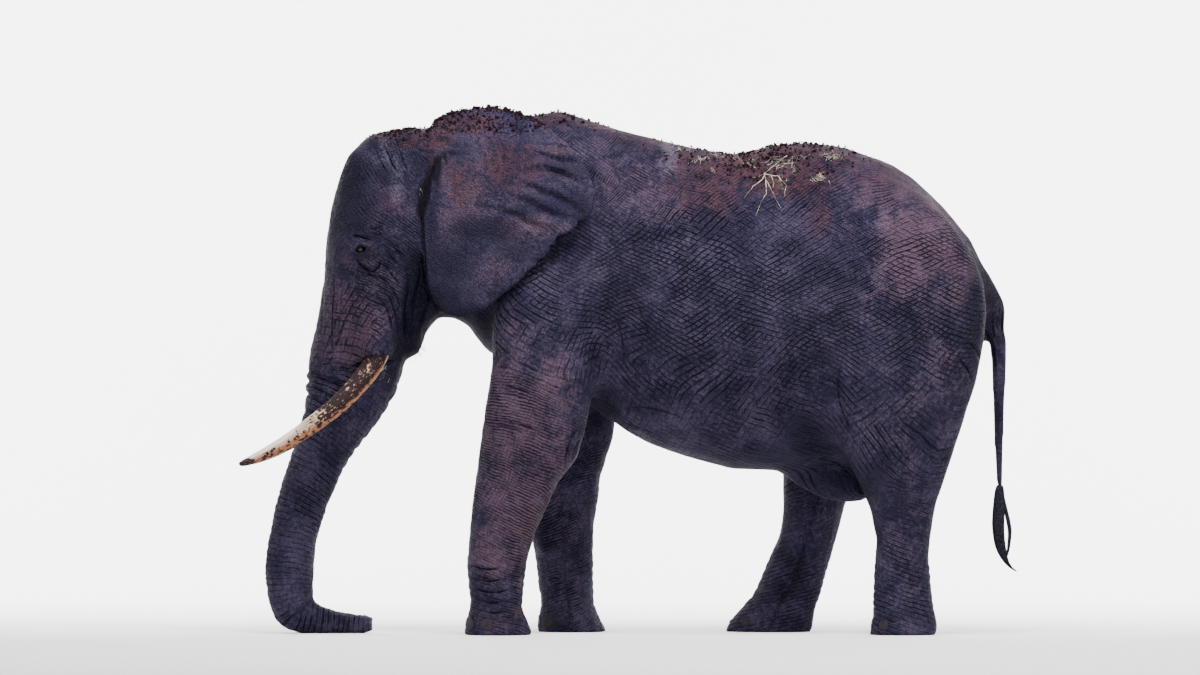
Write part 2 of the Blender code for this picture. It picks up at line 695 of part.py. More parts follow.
def ear_rim(count):
    """Points (x, z) at even steps round the rim of the ear."""
    rows = [(x, 0, z) for x, z in EAR_RIM]
    rows = rows[-3:] + rows + rows[:4]
    fine = smooth_rows(rows, 600)[:, [0, 2]]
    first = np.argmin(np.linalg.norm(fine[:200] - EAR_RIM[0], axis=1))
    last = 400 + np.argmin(np.linalg.norm(fine[400:] - EAR_RIM[0], axis=1))
    loop = fine[first : last + 1]
    along = np.concatenate([[0], np.cumsum(np.linalg.norm(np.diff(loop, axis=0), axis=1))])
    at = np.linspace(0, along[-1], count, endpoint=False)
    return np.stack([np.interp(at, along, loop[:, k]) for k in (0, 1)], axis=1)


def ear_stand(x, z):
    """How far out from the middle plane the ear hangs: in at its root and over the crest."""
    back = np.clip((x + 1.30) / 1.10, 0.0, 1.0)
    root = 0.335 + 0.10 * (1 - np.exp(-np.clip(x + 1.32, 0, None) / 0.06))
    over = 0.36 * (np.clip(z - 2.45, 0, None) / 0.86) ** 2 * (1 + 0.6 * (back - 0.32))
    return root + 0.19 * back**1.1 - over


def make_ear(flesh, flank):
    """An ear laid back over the neck and shoulder: a fan of rings, thick at its root."""
    rim = ear_rim(EAR_SPOKES)
    hub = np.array(EAR_HUB)
    share = np.linspace(0, 1, EAR_RINGS + 1)[1:] ** 0.85
    flat = np.concatenate([[hub], (hub + share[:, None, None] * (rim - hub)).reshape(-1, 2)])
    stand = ear_stand(flat[:, 0], flat[:, 1])
    for i, (x, z) in enumerate(flat):
        under = surface_point(flesh, (x, flank * 2, z), (x, 0, z))
        if under is not None:
            clear = np.interp(x, (-1.29, -1.19), EAR_CLEAR)
            stand[i] = max(stand[i], abs(under.y) + clear)
    spokes = EAR_SPOKES
    for _ in range(3):
        grid = stand[1:].reshape(EAR_RINGS, spokes)
        soft = (np.roll(grid, 1, 1) + 2 * grid + np.roll(grid, -1, 1)) / 4
        stand[1:] = np.maximum(grid - 0.004, soft).ravel()
    thick = EAR_THICKNESS * (1 - 0.4 * np.concatenate([[0], np.repeat(share, spokes)]) ** 4)
    outer = np.stack([flat[:, 0], flank * stand, flat[:, 1]], axis=1)
    inner = np.stack([flat[:, 0], flank * (stand - thick), flat[:, 1]], axis=1)
    count = len(flat)
    faces = []
    for j in range(spokes):
        k = (j + 1) % spokes
        faces.append((0, 1 + j, 1 + k))
        faces.append((count, count + 1 + k, count + 1 + j))
        for i in range(EAR_RINGS - 1):
            a, b = 1 + i * spokes + j, 1 + i * spokes + k
            faces.append((a, a + spokes, b + spokes, b))
            faces.append((count + a, count + b, count + b + spokes, count + a + spokes))
        a, b = 1 + (EAR_RINGS - 1) * spokes + j, 1 + (EAR_RINGS - 1) * spokes + k
        faces.append((a, count + a, count + b, b))
    ear = new_object("ear_" + side_name(flank), np.concatenate([outer, inner]), faces)
    body = grown(flesh)
    boolean(ear, body, "DIFFERENCE")
    delete(body)
    keep_largest(ear)
    finish(ear, HIDE)
    return ear


def make_tail():
    """The free tail in two lengths and its flat brush."""
    rows = tube_sections(TAIL)
    fine = smooth_rows(rows, 40)
    lengths = (
        ("tail_upper", TAIL_ROOT_END - GAP, TAIL_PARTING),
        ("tail_lower", TAIL_PARTING - GAP, TAIL[-1][1] + GAP),
    )
    for name, top, bottom in lengths:
        levels = np.linspace(top, bottom, 8)
        picked = [[np.interp(-z, -fine[:, 2], fine[:, k]) for k in range(7)] for z in levels]
        tail = new_object(name, *swept_mesh(picked, 8, TAIL_SIDES, (0, 0, -1)))
        finish(tail, HIDE)
    tuft = new_object("tail_tuft", *swept_mesh(tube_sections(TAIL_TUFT), 10, 8, (0, 0, -1)))
    finish(tuft, HAIR)


def keep_largest(obj):
    """Drops every loose piece of the mesh but the one with the most faces."""
    work = bmesh.new()
    work.from_mesh(obj.data)
    left = set(work.faces)
    pieces = []
    while left:
        piece, edge = set(), [left.pop()]
        while edge:
            face = edge.pop()
            piece.add(face)
            near = {f for e in face.edges for f in e.link_faces} & left
            left -= near
            edge.extend(near)
        pieces.append(piece)
    largest = max(pieces, key=len)
    spare = [f for f in work.faces if f not in largest]
    bmesh.ops.delete(work, geom=spare, context="FACES")
    loose = [v for v in work.verts if not v.link_faces]
    bmesh.ops.delete(work, geom=loose, context="VERTS")
    work.to_mesh(obj.data)
    work.free()


def distance(piece, seed):
    """How far the surface of a piece is from a point."""
    return (piece.closest_point_on_mesh(seed)[1] - Vector(seed)).length


def part_flesh(flesh):
    """Slits the flesh and names every piece after the nearest place in FLESH_PARTS."""
    for (x1, z1), (x2, z2), (y1, y2) in SLITS:
        middle = ((x1 + x2) / 2, (y1 + y2) / 2, (z1 + z2) / 2)
        size = (math.hypot(x2 - x1, z2 - z1), y2 - y1, GAP)
        slit = block("slit", middle, size, math.atan2(z2 - z1, x2 - x1))
        boolean(flesh, slit, "DIFFERENCE")
        delete(slit)
    for obj in bpy.context.selected_objects:
        obj.select_set(False)
    bpy.context.view_layer.objects.active = flesh
    flesh.select_set(True)
    bpy.ops.object.mode_set(mode="EDIT")
    bpy.ops.mesh.select_all(action="SELECT")
    bpy.ops.mesh.separate(type="LOOSE")
    bpy.ops.object.mode_set(mode="OBJECT")
    pieces = list(bpy.context.selected_objects)
    for name, seed in FLESH_PARTS:
        piece = min(pieces, key=lambda left: distance(left, seed))
        pieces.remove(piece)
        piece.name = name
        finish(piece, HIDE)


def rest_on_origin():
    """Moves every part so that the origin is under the middle of the animal's box, at SIZE."""
    parts = [obj for obj in bpy.context.scene.objects if not obj.hide_render]
    corners = np.array([v.co for obj in parts for v in obj.data.vertices])
    middle = (corners.min(axis=0) + corners.max(axis=0)) / 2
    move = Matrix.Scale(SIZE, 4) @ Matrix.Translation((-middle[0], -middle[1], 0))
    for obj in parts:
        obj.data.transform(move)


def finish(obj, surface):
    """Gives the object its material and smooth shading."""
    name, colour, rough = surface
    material = bpy.data.materials.get(name)
    if material is None:
        material = bpy.data.materials.new(name)
        material.use_nodes = True
        shader = material.node_tree.nodes["Principled BSDF"]
        shader.inputs["Base Color"].default_value = colour
        shader.inputs["Roughness"].default_value = rough
        shader.inputs["Metallic"].default_value = 0.0
    obj.data.materials.clear()
    obj.data.materials.append(material)
    obj.data.shade_smooth()
    obj.data.set_sharp_from_angle(angle=math.radians(50))


def clear_scene():
    for obj in list(bpy.data.objects):
        bpy.data.objects.remove(obj, do_unlink=True)


def main():
    clear_scene()
    flesh = make_flesh()
    inset = [make_tusk(flank) for flank in (LEFT, RIGHT)]
    inset += [make_eye(flesh, flank) for flank in (LEFT, RIGHT)]
    inset += make_nails(flesh)
    for obj in inset:
        bed = grown(obj)
        boolean(flesh, bed, "DIFFERENCE")
        delete(bed)
    for flank in (LEFT, RIGHT):
        make_ear(flesh, flank)
    make_tail()
    part_flesh(flesh)
    rest_on_origin()


main()
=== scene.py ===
import math

import bmesh
import bpy
import numpy as np
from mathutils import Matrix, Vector
from mathutils.bvhtree import BVHTree


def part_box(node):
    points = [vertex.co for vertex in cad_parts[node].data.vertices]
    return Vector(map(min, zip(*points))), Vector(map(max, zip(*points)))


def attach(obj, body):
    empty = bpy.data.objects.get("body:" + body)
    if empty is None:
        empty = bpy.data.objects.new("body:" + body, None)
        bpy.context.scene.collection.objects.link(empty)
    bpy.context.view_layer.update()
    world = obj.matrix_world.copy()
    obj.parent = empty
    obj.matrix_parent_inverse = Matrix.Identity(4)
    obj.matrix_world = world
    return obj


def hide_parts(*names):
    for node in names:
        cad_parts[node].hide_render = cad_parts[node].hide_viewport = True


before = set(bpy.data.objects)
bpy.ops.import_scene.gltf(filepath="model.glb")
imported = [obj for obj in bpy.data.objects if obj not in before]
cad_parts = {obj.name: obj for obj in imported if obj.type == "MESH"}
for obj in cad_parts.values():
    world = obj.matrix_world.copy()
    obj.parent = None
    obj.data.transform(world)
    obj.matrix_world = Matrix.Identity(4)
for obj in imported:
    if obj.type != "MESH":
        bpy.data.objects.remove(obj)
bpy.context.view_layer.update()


# --------------------------------------------------------------------------------------------------
# The hide: one thick, bare skin over the whole animal, without a seam. It is made from the
# solids of the flesh, closed into one surface, rounded off, and folded where a living hide
# folds: at the joints, round the trunk and legs, over the cheek and behind the elbow.

HIDE_GROUPS = {
    "body": ("torso", "neck"),
    "head": ("head", "jaw"),
    "trunk": ("trunk_base", "trunk_middle", "trunk_lower", "trunk_tip"),
    "ear": ("ear_left", "ear_right"),
    "foreleg": ("foreleg_left", "foreleg_right", "forefoot_left", "forefoot_right"),
    "hindleg": ("hindleg_left", "hindleg_right", "hindfoot_left", "hindfoot_right"),
    "tail": ("tail_upper", "tail_lower"),
}
HIDE_NODES = tuple(name for names in HIDE_GROUPS.values() for name in names)
HIDE_STEP = 0.0115  # size of the skin's meshes
HIDE_ROUNDING = 30  # rounds of averaging that take the facets off
HIDE_TRIANGLES = 194000
JOIN_GAP = 0.0008  # two solids of flesh nearer than this are one flesh
FLOOR_SKIN = 0.004  # skin that starts below this lies flat on the floor


def read(items, field, wide, kind=np.float32):
    """One property of all of a mesh's items, as an array with so many numbers in each row."""
    found = np.empty(len(items) * wide, kind)
    items.foreach_get(field, found)
    return found.reshape(-1, wide)


def places_of(mesh):
    """The mesh's points as an array."""
    return read(mesh.vertices, "co", 3).astype(float)


def edges_of(mesh):
    """The two ends of each edge."""
    return read(mesh.edges, "vertices", 2, np.int32)


def normals_of(mesh):
    """The outward direction at each point."""
    return read(mesh.vertex_normals, "vector", 3).astype(float)


def node_triangles(name):
    """The corners of a solid's triangles, as an array of triangles by corners by x, y and z."""
    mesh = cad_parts[name].data
    mesh.calc_loop_triangles()
    return places_of(mesh)[read(mesh.loop_triangles, "vertices", 3, np.int32)]


def tree_of(triangles):
    """A search tree over loose triangles."""
    rows = np.arange(len(triangles) * 3).reshape(-1, 3)
    return BVHTree.FromPolygons(triangles.reshape(-1, 3).tolist(), rows.tolist())


def open_flesh():
    """The flesh's triangles without the flat walls where two solids meet, and each one's group. The
    flesh under an ear stays whole, so that the ear can lie over it."""
    solids = {name: node_triangles(name) for name in HIDE_NODES}
    kept, group = [], []
    for number, (label, names) in enumerate(HIDE_GROUPS.items()):
        for name in names:
            beside = [n for n in solids if n != name and (label == "ear" or not n.startswith("ear"))]
            tree = tree_of(np.concatenate([solids[n] for n in beside]))
            middles = solids[name].mean(axis=1)
            wall = [tree.find_nearest(Vector(m), JOIN_GAP)[0] is not None for m in middles]
            outer = solids[name][~np.array(wall)]
            kept.append(outer)
            group.append(np.full(len(outer), number))
    return np.concatenate(kept), np.concatenate(group)


def mesh_from(name, places, faces):
    """A new object from an array of places and an array of faces, shaded smooth."""
    mesh = bpy.data.meshes.new(name)
    mesh.from_pydata(np.asarray(places).tolist(), [], np.asarray(faces).tolist())
    mesh.update()
    mesh.shade_smooth()
    obj = bpy.data.objects.new(name, mesh)
    bpy.context.scene.collection.objects.link(obj)
    return obj


def mesh_of_triangles(name, triangles):
    """A new object from loose triangles, each with three points of its own."""
    return mesh_from(name, triangles.reshape(-1, 3), np.arange(len(triangles) * 3).reshape(-1, 3))


def settle(obj):
    """Applies an object's modifiers."""
    graph = bpy.context.evaluated_depsgraph_get()
    made = bpy.data.meshes.new_from_object(obj.evaluated_get(graph))
    old = obj.data
    obj.modifiers.clear()
    obj.data = made
    bpy.data.meshes.remove(old)


def move_to(mesh, places):
    """Puts an array of places into the mesh."""
    mesh.vertices.foreach_set("co", places.astype(np.float32).ravel())
    mesh.update()


def spread(values, ends, rounds, share=0.5):
    """Averages values with their neighbours' along the edges, again and again."""
    values = np.array(values, float)
    flat = values.reshape(len(values), -1)
    count = np.bincount(ends.ravel(), minlength=len(flat)).clip(1)
    for _ in range(rounds):
        for k in range(flat.shape[1]):
            near = np.bincount(ends[:, 0], flat[ends[:, 1], k], len(flat))
            near += np.bincount(ends[:, 1], flat[ends[:, 0], k], len(flat))
            flat[:, k] += share * (near / count - flat[:, k])
    return flat.reshape(values.shape)


def rounded(places, ends, rounds):
    """Rounds the facets off: averages the places, then adds back the averaged loss, so that the form
    keeps its girth."""
    soft = spread(places, ends, rounds)
    return soft + spread(places - soft, ends, rounds)


def rise(low, high, values):
    """A smooth step from 0 at low to 1 at high; low may be the greater."""
    t = np.clip((values - low) / (high - low), 0, 1)
    return t * t * (3 - 2 * t)


def bell(values):
    """A bell curve that is 1 at zero: exp of minus the square."""
    return np.exp(-(values**2))


def lattice_noise(places, size, seed):
    """Smooth noise from -1 to 1: random numbers on a lattice, blended with a cubic step."""
    table = np.random.default_rng(seed).uniform(-1, 1, (32, 32, 32))
    cell = np.floor(places / size)
    part = places / size - cell
    part = part * part * (3 - 2 * part)
    cell = cell.astype(int)
    total = np.zeros(len(places))
    for corner in np.ndindex(2, 2, 2):
        share = np.prod(np.where(corner, part, 1 - part), axis=1)
        i, j, k = ((cell + corner) & 31).T
        total += share * table[i, j, k]
    return total


def base_hide():
    """The skin before it is folded, as an object that knows which solid each point came from."""
    triangles, group = open_flesh()
    member = np.repeat(np.eye(8)[group], 3, axis=0)
    source = mesh_of_triangles("flesh", triangles)
    hide = mesh_of_triangles("hide", triangles)
    remesh = hide.modifiers.new("close", "REMESH")
    remesh.mode = "VOXEL"
    remesh.voxel_size = HIDE_STEP
    settle(hide)
    for number, label in enumerate(("near", "far")):
        layer = source.data.color_attributes.new(label, "FLOAT_COLOR", "POINT")
        layer.data.foreach_set("color", member[:, 4 * number : 4 * number + 4].astype(np.float32).ravel())
        hide.data.color_attributes.new(label, "FLOAT_COLOR", "POINT")
    transfer = hide.modifiers.new("regions", "DATA_TRANSFER")
    transfer.object = source
    transfer.use_vert_data = True
    transfer.data_types_verts = {"COLOR_VERTEX"}
    transfer.vert_mapping = "POLYINTERP_NEAREST"
    transfer.layers_vcol_vert_select_src = "ALL"
    transfer.layers_vcol_vert_select_dst = "NAME"
    settle(hide)
    bpy.data.objects.remove(source)
    return hide


def regions_of(mesh):
    """Each region's share of each point, as a dict of arrays."""
    shares = [read(mesh.attributes[label].data, "color", 4) for label in ("near", "far")]
    return dict(zip(HIDE_GROUPS, np.concatenate(shares, axis=1).T.astype(float)))


def refine(obj, spots, cuts=3):
    """Splits the skin's meshes into finer ones near each spot, a place and a reach."""
    places = places_of(obj.data)
    ends = edges_of(obj.data)
    close = np.zeros(len(places), bool)
    for place, reach in spots:
        close |= np.linalg.norm(places - place, axis=1) < reach
    work = bmesh.new()
    work.from_mesh(obj.data)
    work.edges.ensure_lookup_table()
    chosen = [work.edges[i] for i in np.flatnonzero(close[ends].any(axis=1))]
    bmesh.ops.subdivide_edges(work, edges=chosen, cuts=cuts, use_grid_fill=True)
    work.to_mesh(obj.data)
    work.free()


# Folds seen from the side: depth, width, and the points of the line that each follows in x and z.
# A negative depth is a swelling. The first two are the fold at the ear's root and the lobe before it.
EAR_ROOT = (
    0.022, 0.013, (-1.137, 3.036), (-1.208, 2.98), (-1.248, 2.901), (-1.287, 2.774), (-1.308, 2.648),
    (-1.303, 2.489), (-1.292, 2.363), (-1.283, 2.236), (-1.251, 2.125), (-1.192, 2.03),
)
EAR_ROOT_LOBE = (
    -0.018, 0.014, (-1.225, 2.861), (-1.243, 2.758), (-1.265, 2.663), (-1.29, 2.584),
)
HEAD_FOLDS = (
    # Flap over the ear root.
    (-0.016, 0.02, (-1.15, 3.085), (-1.225, 3.02), (-1.272, 2.925), (-1.312, 2.79)),
    # Temple.
    (0.003, 0.02, (-1.644, 2.735), (-1.549, 2.819), (-1.454, 2.834), (-1.387, 2.793)),
    (0.002, 0.02, (-1.628, 2.671), (-1.533, 2.629), (-1.435, 2.66)),
    # Upper lid.
    (0.01, 0.007, (-1.745, 2.48), (-1.735, 2.5), (-1.71, 2.507), (-1.675, 2.494), (-1.645, 2.487),
     (-1.615, 2.47)),
    # Pouch.
    (0.009, 0.008, (-1.738, 2.392), (-1.726, 2.372), (-1.688, 2.324), (-1.644, 2.293), (-1.612, 2.285),
     (-1.587, 2.305), (-1.568, 2.345), (-1.561, 2.395)),
    # Below the pouch.
    (0.006, 0.009, (-1.745, 2.225), (-1.695, 2.262), (-1.65, 2.272), (-1.605, 2.25), (-1.58, 2.205)),
    # Brow.
    (0.006, 0.01, (-1.655, 2.562), (-1.605, 2.55), (-1.57, 2.56), (-1.535, 2.54)),
    (0.005, 0.009, (-1.64, 2.52), (-1.59, 2.512), (-1.545, 2.522), (-1.5, 2.5)),
    # Crow's foot.
    (0.006, 0.01, (-1.555, 2.48), (-1.49, 2.44), (-1.43, 2.38), (-1.39, 2.31)),
    (0.006, 0.009, (-1.564, 2.363), (-1.501, 2.268), (-1.422, 2.173)),
    (0.005, 0.009, (-1.549, 2.426), (-1.477, 2.347), (-1.403, 2.283)),
    # Cheek.
    (0.007, 0.012, (-1.762, 2.204), (-1.691, 2.244), (-1.612, 2.26), (-1.533, 2.22), (-1.469, 2.125),
     (-1.435, 1.998)),
    (0.006, 0.011, (-1.739, 2.141), (-1.66, 2.196), (-1.58, 2.188), (-1.509, 2.109), (-1.469, 1.983),
     (-1.454, 1.856)),
    (0.006, 0.011, (-1.707, 2.078), (-1.628, 2.125), (-1.549, 2.078), (-1.501, 1.951), (-1.485, 1.793)),
    # Jaw hinge.
    (0.02, 0.014, (-1.43, 2.363), (-1.403, 2.268), (-1.397, 2.173), (-1.416, 2.062), (-1.419, 1.951),
     (-1.416, 1.856), (-1.422, 1.761)),
    # Jaw.
    (0.014, 0.014, (-1.343, 2.394), (-1.319, 2.268), (-1.351, 2.141), (-1.371, 2.014), (-1.39, 1.903),
     (-1.398, 1.808)),
    # Throat.
    (0.01, 0.014, (-1.279, 2.204), (-1.264, 2.109), (-1.303, 2.014), (-1.343, 1.919)),
    # Lip.
    (0.016, 0.01, (-1.805, 1.628), (-1.778, 1.666), (-1.723, 1.698), (-1.628, 1.71), (-1.517, 1.721),
     (-1.435, 1.742)),
    # Face.
    (0.005, 0.01, (-1.905, 2.489), (-1.926, 2.268), (-1.937, 2.109), (-1.945, 1.951), (-1.952, 1.793)),
    (0.005, 0.01, (-1.85, 2.363), (-1.865, 2.173), (-1.873, 2.014), (-1.878, 1.856), (-1.865, 1.698)),
    (0.004, 0.01, (-1.81, 2.236), (-1.821, 2.078), (-1.834, 1.919), (-1.837, 1.777)),
    # Crown.
    (0.006, 0.011, (-1.564, 3.123), (-1.525, 3.028), (-1.469, 2.917), (-1.398, 2.853)),
    (0.006, 0.011, (-1.493, 3.17), (-1.454, 3.059), (-1.414, 2.948), (-1.343, 2.869)),
    (0.005, 0.011, (-1.628, 3.091), (-1.564, 2.964), (-1.501, 2.853)),
    (0.005, 0.011, (-1.422, 3.107), (-1.311, 3.043), (-1.213, 3.02)),
)
EAR_FOLDS = (
    # The fan of the ear.
    (0.01, 0.022, (-0.63, 3.075), (-0.504, 3.067), (-0.377, 3.036), (-0.298, 2.996)),
    (0.012, 0.026, (-0.662, 3.02), (-0.551, 3.004), (-0.424, 2.98), (-0.321, 2.948), (-0.25, 2.901)),
    (0.013, 0.027, (-0.678, 2.917), (-0.551, 2.917), (-0.424, 2.885), (-0.314, 2.838), (-0.234, 2.774)),
    (0.013, 0.027, (-0.757, 2.838), (-0.63, 2.806), (-0.504, 2.758), (-0.377, 2.695), (-0.266, 2.632)),
    (0.011, 0.026, (-0.773, 2.743), (-0.662, 2.711), (-0.551, 2.663), (-0.44, 2.616), (-0.361, 2.576)),
    (0.009, 0.024, (-0.915, 2.679), (-0.789, 2.648), (-0.662, 2.6), (-0.535, 2.553), (-0.44, 2.513)),
    # The ear's upper blade.
    (0.006, 0.02, (-0.852, 3.17), (-0.812, 3.028), (-0.773, 2.885)),
    (0.006, 0.02, (-0.979, 3.123), (-0.931, 2.98), (-0.915, 2.853)),
)
BODY_FOLDS = (
    # Groin.
    (0.006, 0.03, (1.376, 1.845), (1.316, 1.676), (1.308, 1.486), (1.376, 1.296), (1.449, 1.127)),
    (-0.005, 0.03, (1.266, 1.824), (1.211, 1.655), (1.164, 1.486), (1.175, 1.317)),
    # Rump.
    (0.01, 0.013, (2.157, 1.972), (2.252, 1.909), (2.305, 1.782), (2.315, 1.634)),
    (0.009, 0.013, (2.051, 1.888), (2.157, 1.803), (2.22, 1.676), (2.231, 1.529)),
    (0.008, 0.013, (1.977, 1.782), (2.093, 1.698), (2.157, 1.571)),
    (0.009, 0.012, (2.305, 2.141), (2.294, 1.972), (2.326, 1.803)),
    # Tail root.
    (0.014, 0.012, (2.372, 2.12), (2.359, 1.972), (2.368, 1.824)),
    # Armpit.
    (0.005, 0.02, (-0.102, 1.402), (0.067, 1.434), (0.257, 1.391), (0.425, 1.317)),
    (0.004, 0.02, (-0.081, 1.347), (0.109, 1.286), (0.299, 1.187)),
    # Shoulder.
    (0.004, 0.024, (0.003, 2.162), (0.098, 1.951), (0.14, 1.782)),
    (0.005, 0.026, (-0.187, 2.162), (-0.081, 1.972), (-0.039, 1.782), (-0.06, 1.592)),
    # Sheath.
    (0.008, 0.02, (1.038, 1.043), (1.164, 1.111), (1.312, 1.075), (1.439, 0.959)),
    # Ribs.
    (-0.005, 0.04, (0.172, 1.803), (0.235, 1.634), (0.383, 1.486)),
)
LEG_FOLDS = (
    # Upper foreleg.
    (0.006, 0.009, (-0.844, 1.682), (-0.709, 1.666), (-0.583, 1.642)),
    (0.006, 0.009, (-0.844, 1.587), (-0.709, 1.547), (-0.567, 1.5)),
    (0.005, 0.009, (-0.852, 1.515), (-0.725, 1.507), (-0.63, 1.473)),
    (0.007, 0.01, (-0.868, 1.365), (-0.741, 1.341), (-0.63, 1.302), (-0.519, 1.262)),
    (0.006, 0.009, (-0.868, 1.325), (-0.757, 1.305), (-0.646, 1.267)),
    (0.005, 0.009, (-0.884, 1.207), (-0.789, 1.191), (-0.694, 1.207)),
    (0.005, 0.009, (-0.836, 1.793), (-0.709, 1.769), (-0.599, 1.761)),
    # Elbow.
    (0.006, 0.012, (-0.219, 1.365), (-0.306, 1.317), (-0.374, 1.222), (-0.405, 1.096), (-0.39, 0.985)),
    (0.005, 0.01, (-0.266, 1.254), (-0.321, 1.215), (-0.358, 1.143), (-0.367, 1.064)),
    # Forearm.
    (0.004, 0.009, (-0.551, 0.969), (-0.472, 0.993)),
    (0.004, 0.009, (-0.535, 0.874), (-0.424, 0.906)),
    # Wrist.
    (0.009, 0.012, (-1.001, 0.439), (-0.899, 0.415), (-0.804, 0.423)),
    (0.009, 0.012, (-1.001, 0.367), (-0.899, 0.339), (-0.789, 0.352)),
    (0.009, 0.012, (-0.991, 0.299), (-0.868, 0.269), (-0.741, 0.288)),
    (0.009, 0.012, (-0.982, 0.234), (-0.868, 0.203), (-0.725, 0.225)),
    (0.008, 0.012, (-0.972, 0.171), (-0.852, 0.139), (-0.709, 0.162)),
)

# The middle line of the trunk: x, z and radius.
TRUNK_LINE = (
    (-1.7, 2.05, 0.25), (-1.728, 1.72, 0.27), (-1.8, 1.476, 0.24), (-1.92, 1.222, 0.19),
    (-2.022, 0.969, 0.165), (-2.103, 0.716, 0.155), (-2.149, 0.462, 0.15), (-2.15, 0.27, 0.148),
    (-2.112, 0.14, 0.13), (-2.045, 0.1, 0.11), (-1.84, 0.066, 0.075), (-1.625, 0.054, 0.05),
)
# Along the trunk in metres: the pitch of its rings, and their depth as a share of the pitch.
RING_PITCH = ((0.9, 1.15, 2.2), (0.084, 0.046, 0.036))
RING_DEPTH = ((0.1, 0.35, 0.9, 1.2, 2.2), (0.10, 0.25, 0.25, 0.16, 0.14))
RING_STEP = 0.008  # the rings are counted in steps of this
# The middle lines of the legs: z, x and distance from the middle plane; left first.
FORELEG_LINES = (
    ((0.02, -0.826, 0.306), (0.23, -0.84, 0.306), (0.59, -0.814, 0.313), (0.97, -0.704, 0.335),
     (1.26, -0.61, 0.36), (1.67, -0.538, 0.383), (2.3, -0.495, 0.342)),
    ((0.02, -0.37, 0.306), (0.23, -0.398, 0.306), (0.59, -0.424, 0.313), (0.97, -0.445, 0.335),
     (1.26, -0.415, 0.36), (1.67, -0.455, 0.383), (2.3, -0.46, 0.342)),
)
HIND_LEG_LINES = (
    ((0.02, 1.716, 0.308), (0.34, 1.714, 0.308), (0.72, 1.718, 0.322), (1.1, 1.688, 0.345),
     (1.6, 1.66, 0.368), (2.11, 1.722, 0.377)),
    ((0.02, 0.885, 0.308), (0.34, 1.044, 0.308), (0.72, 1.162, 0.322), (1.1, 1.275, 0.345),
     (1.6, 1.48, 0.368), (2.11, 1.64, 0.377)),
)
ANKLE_DEPTH, ANKLE_PITCH = 0.0065, 0.056
# Tears in the ear's rim: the bearing from the ear's hub in degrees, reach and depth.
EAR_TEARS = (
    (-8, 0.022, 0.03), (-15, 0.015, 0.014), (-22, 0.024, 0.052), (-26, 0.012, 0.024), (-31, 0.016, 0.02),
    (-46, 0.016, 0.01), (18, 0.02, 0.01), (-60, 0.014, 0.008),
)
EAR_HUB = np.array((-0.86, 2.66))
EAR_FAN_DEPTH = 1.6  # how much deeper the ear's folds are than their rows say
EYE_SHIFT = (0.003, 0, -0.016)  # from the solid's middle to the ball's
EYE_NAMES = ("eye_left", "eye_right")
EYES = [np.array(sum(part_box(name), Vector()) / 2) * (1, 0.978, 1) + EYE_SHIFT for name in EYE_NAMES]
EYE_TILT = math.radians(16)
EYE_OPENING = 0.034  # half the length of the slit between the lids
TRUNK_END = np.array((-1.64, 0.0, 0.056))


def smooth_line(points, share=5):
    """A curve through the points: Catmull and Rom's cubic, with `share` steps between two points."""
    points = np.array(points, float)
    ends = np.concatenate([[2 * points[0] - points[1]], points, [2 * points[-1] - points[-2]]])
    t = np.linspace(0, 1, share, endpoint=False)[:, None, None]
    a, b, c, d = ends[:-3], ends[1:-2], ends[2:-1], ends[3:]
    curve = 0.5 * (2 * b + (c - a) * t + (2 * a - 5 * b + 4 * c - d) * t**2 + (3 * b - a - 3 * c + d) * t**3)
    return np.concatenate([curve.transpose(1, 0, 2).reshape(-1, points.shape[1]), points[-1:]])


def line_distance(flat, line):
    """Each place's distance to a bent line, how far along it the nearest point lies, and its length, in
    metres."""
    best = np.full(len(flat), 9.0)
    along = np.zeros(len(flat))
    before = 0.0
    for a, b in zip(line[:-1], line[1:]):
        step = b - a
        length = np.linalg.norm(step)
        t = np.clip((flat - a) @ step / length**2, 0, 1)
        far = np.linalg.norm(flat - a - t[:, None] * step, axis=1)
        nearer = far < best
        best[nearer] = far[nearer]
        along[nearer] = before + t[nearer] * length
        before += length
    return best, along, before


def near_line(flat, line, margin):
    """Which places lie in the box round a line, widened by the margin."""
    return np.all((flat > line.min(axis=0) - margin) & (flat < line.max(axis=0) + margin), axis=1)


def fading(along, length):
    """The share of a fold that is left along its line: a half sine, which dies out at both ends."""
    return np.sin(np.pi * np.clip(along / length, 0.01, 0.99))


def fold(flat, row):
    """A crease with swollen lips: the height is -depth (1 - t^2) exp(-t^2 / 2), where t is the distance
    over the width. It dies out at the line's ends."""
    depth, width, *path = row
    line = smooth_line(path)
    inside = near_line(flat, line, 5 * width)
    height = np.zeros(len(flat))
    far, along, length = line_distance(flat[inside], line)
    t = far / width
    height[inside] = -depth * (1 - t * t) * np.exp(-t * t / 2) * fading(along, length)
    return height


def leg_place(places, lines):
    """Each place beside its own side's leg: the leg's middle x, and the bearing round it, 0 outwards."""
    left = places[:, 1] < 0
    middle = np.empty((len(places), 2))
    for chosen, line in ((left, lines[0]), (~left, lines[1])):
        z, x, y = np.array(line).T
        middle[chosen, 0] = np.interp(places[chosen, 2], z, x)
        middle[chosen, 1] = np.interp(places[chosen, 2], z, y)
    ahead = places[:, 0] - middle[:, 0]
    out = np.abs(places[:, 1]) - middle[:, 1]
    return middle[:, 0], np.arctan2(ahead, out)


def lumps(places, part):
    """Uneven flesh: two sizes of noise all over, less on the ears and tail, and a finer one in front."""
    soft = 1 - 0.7 * part["ear"] - 0.8 * part["tail"]
    height = (0.0045 * lattice_noise(places, 0.22, 1) + 0.0028 * lattice_noise(places, 0.075, 2)) * soft
    front = part["head"] + part["trunk"] + part["foreleg"]
    return height + 0.0024 * lattice_noise(places, 0.032, 9) * front


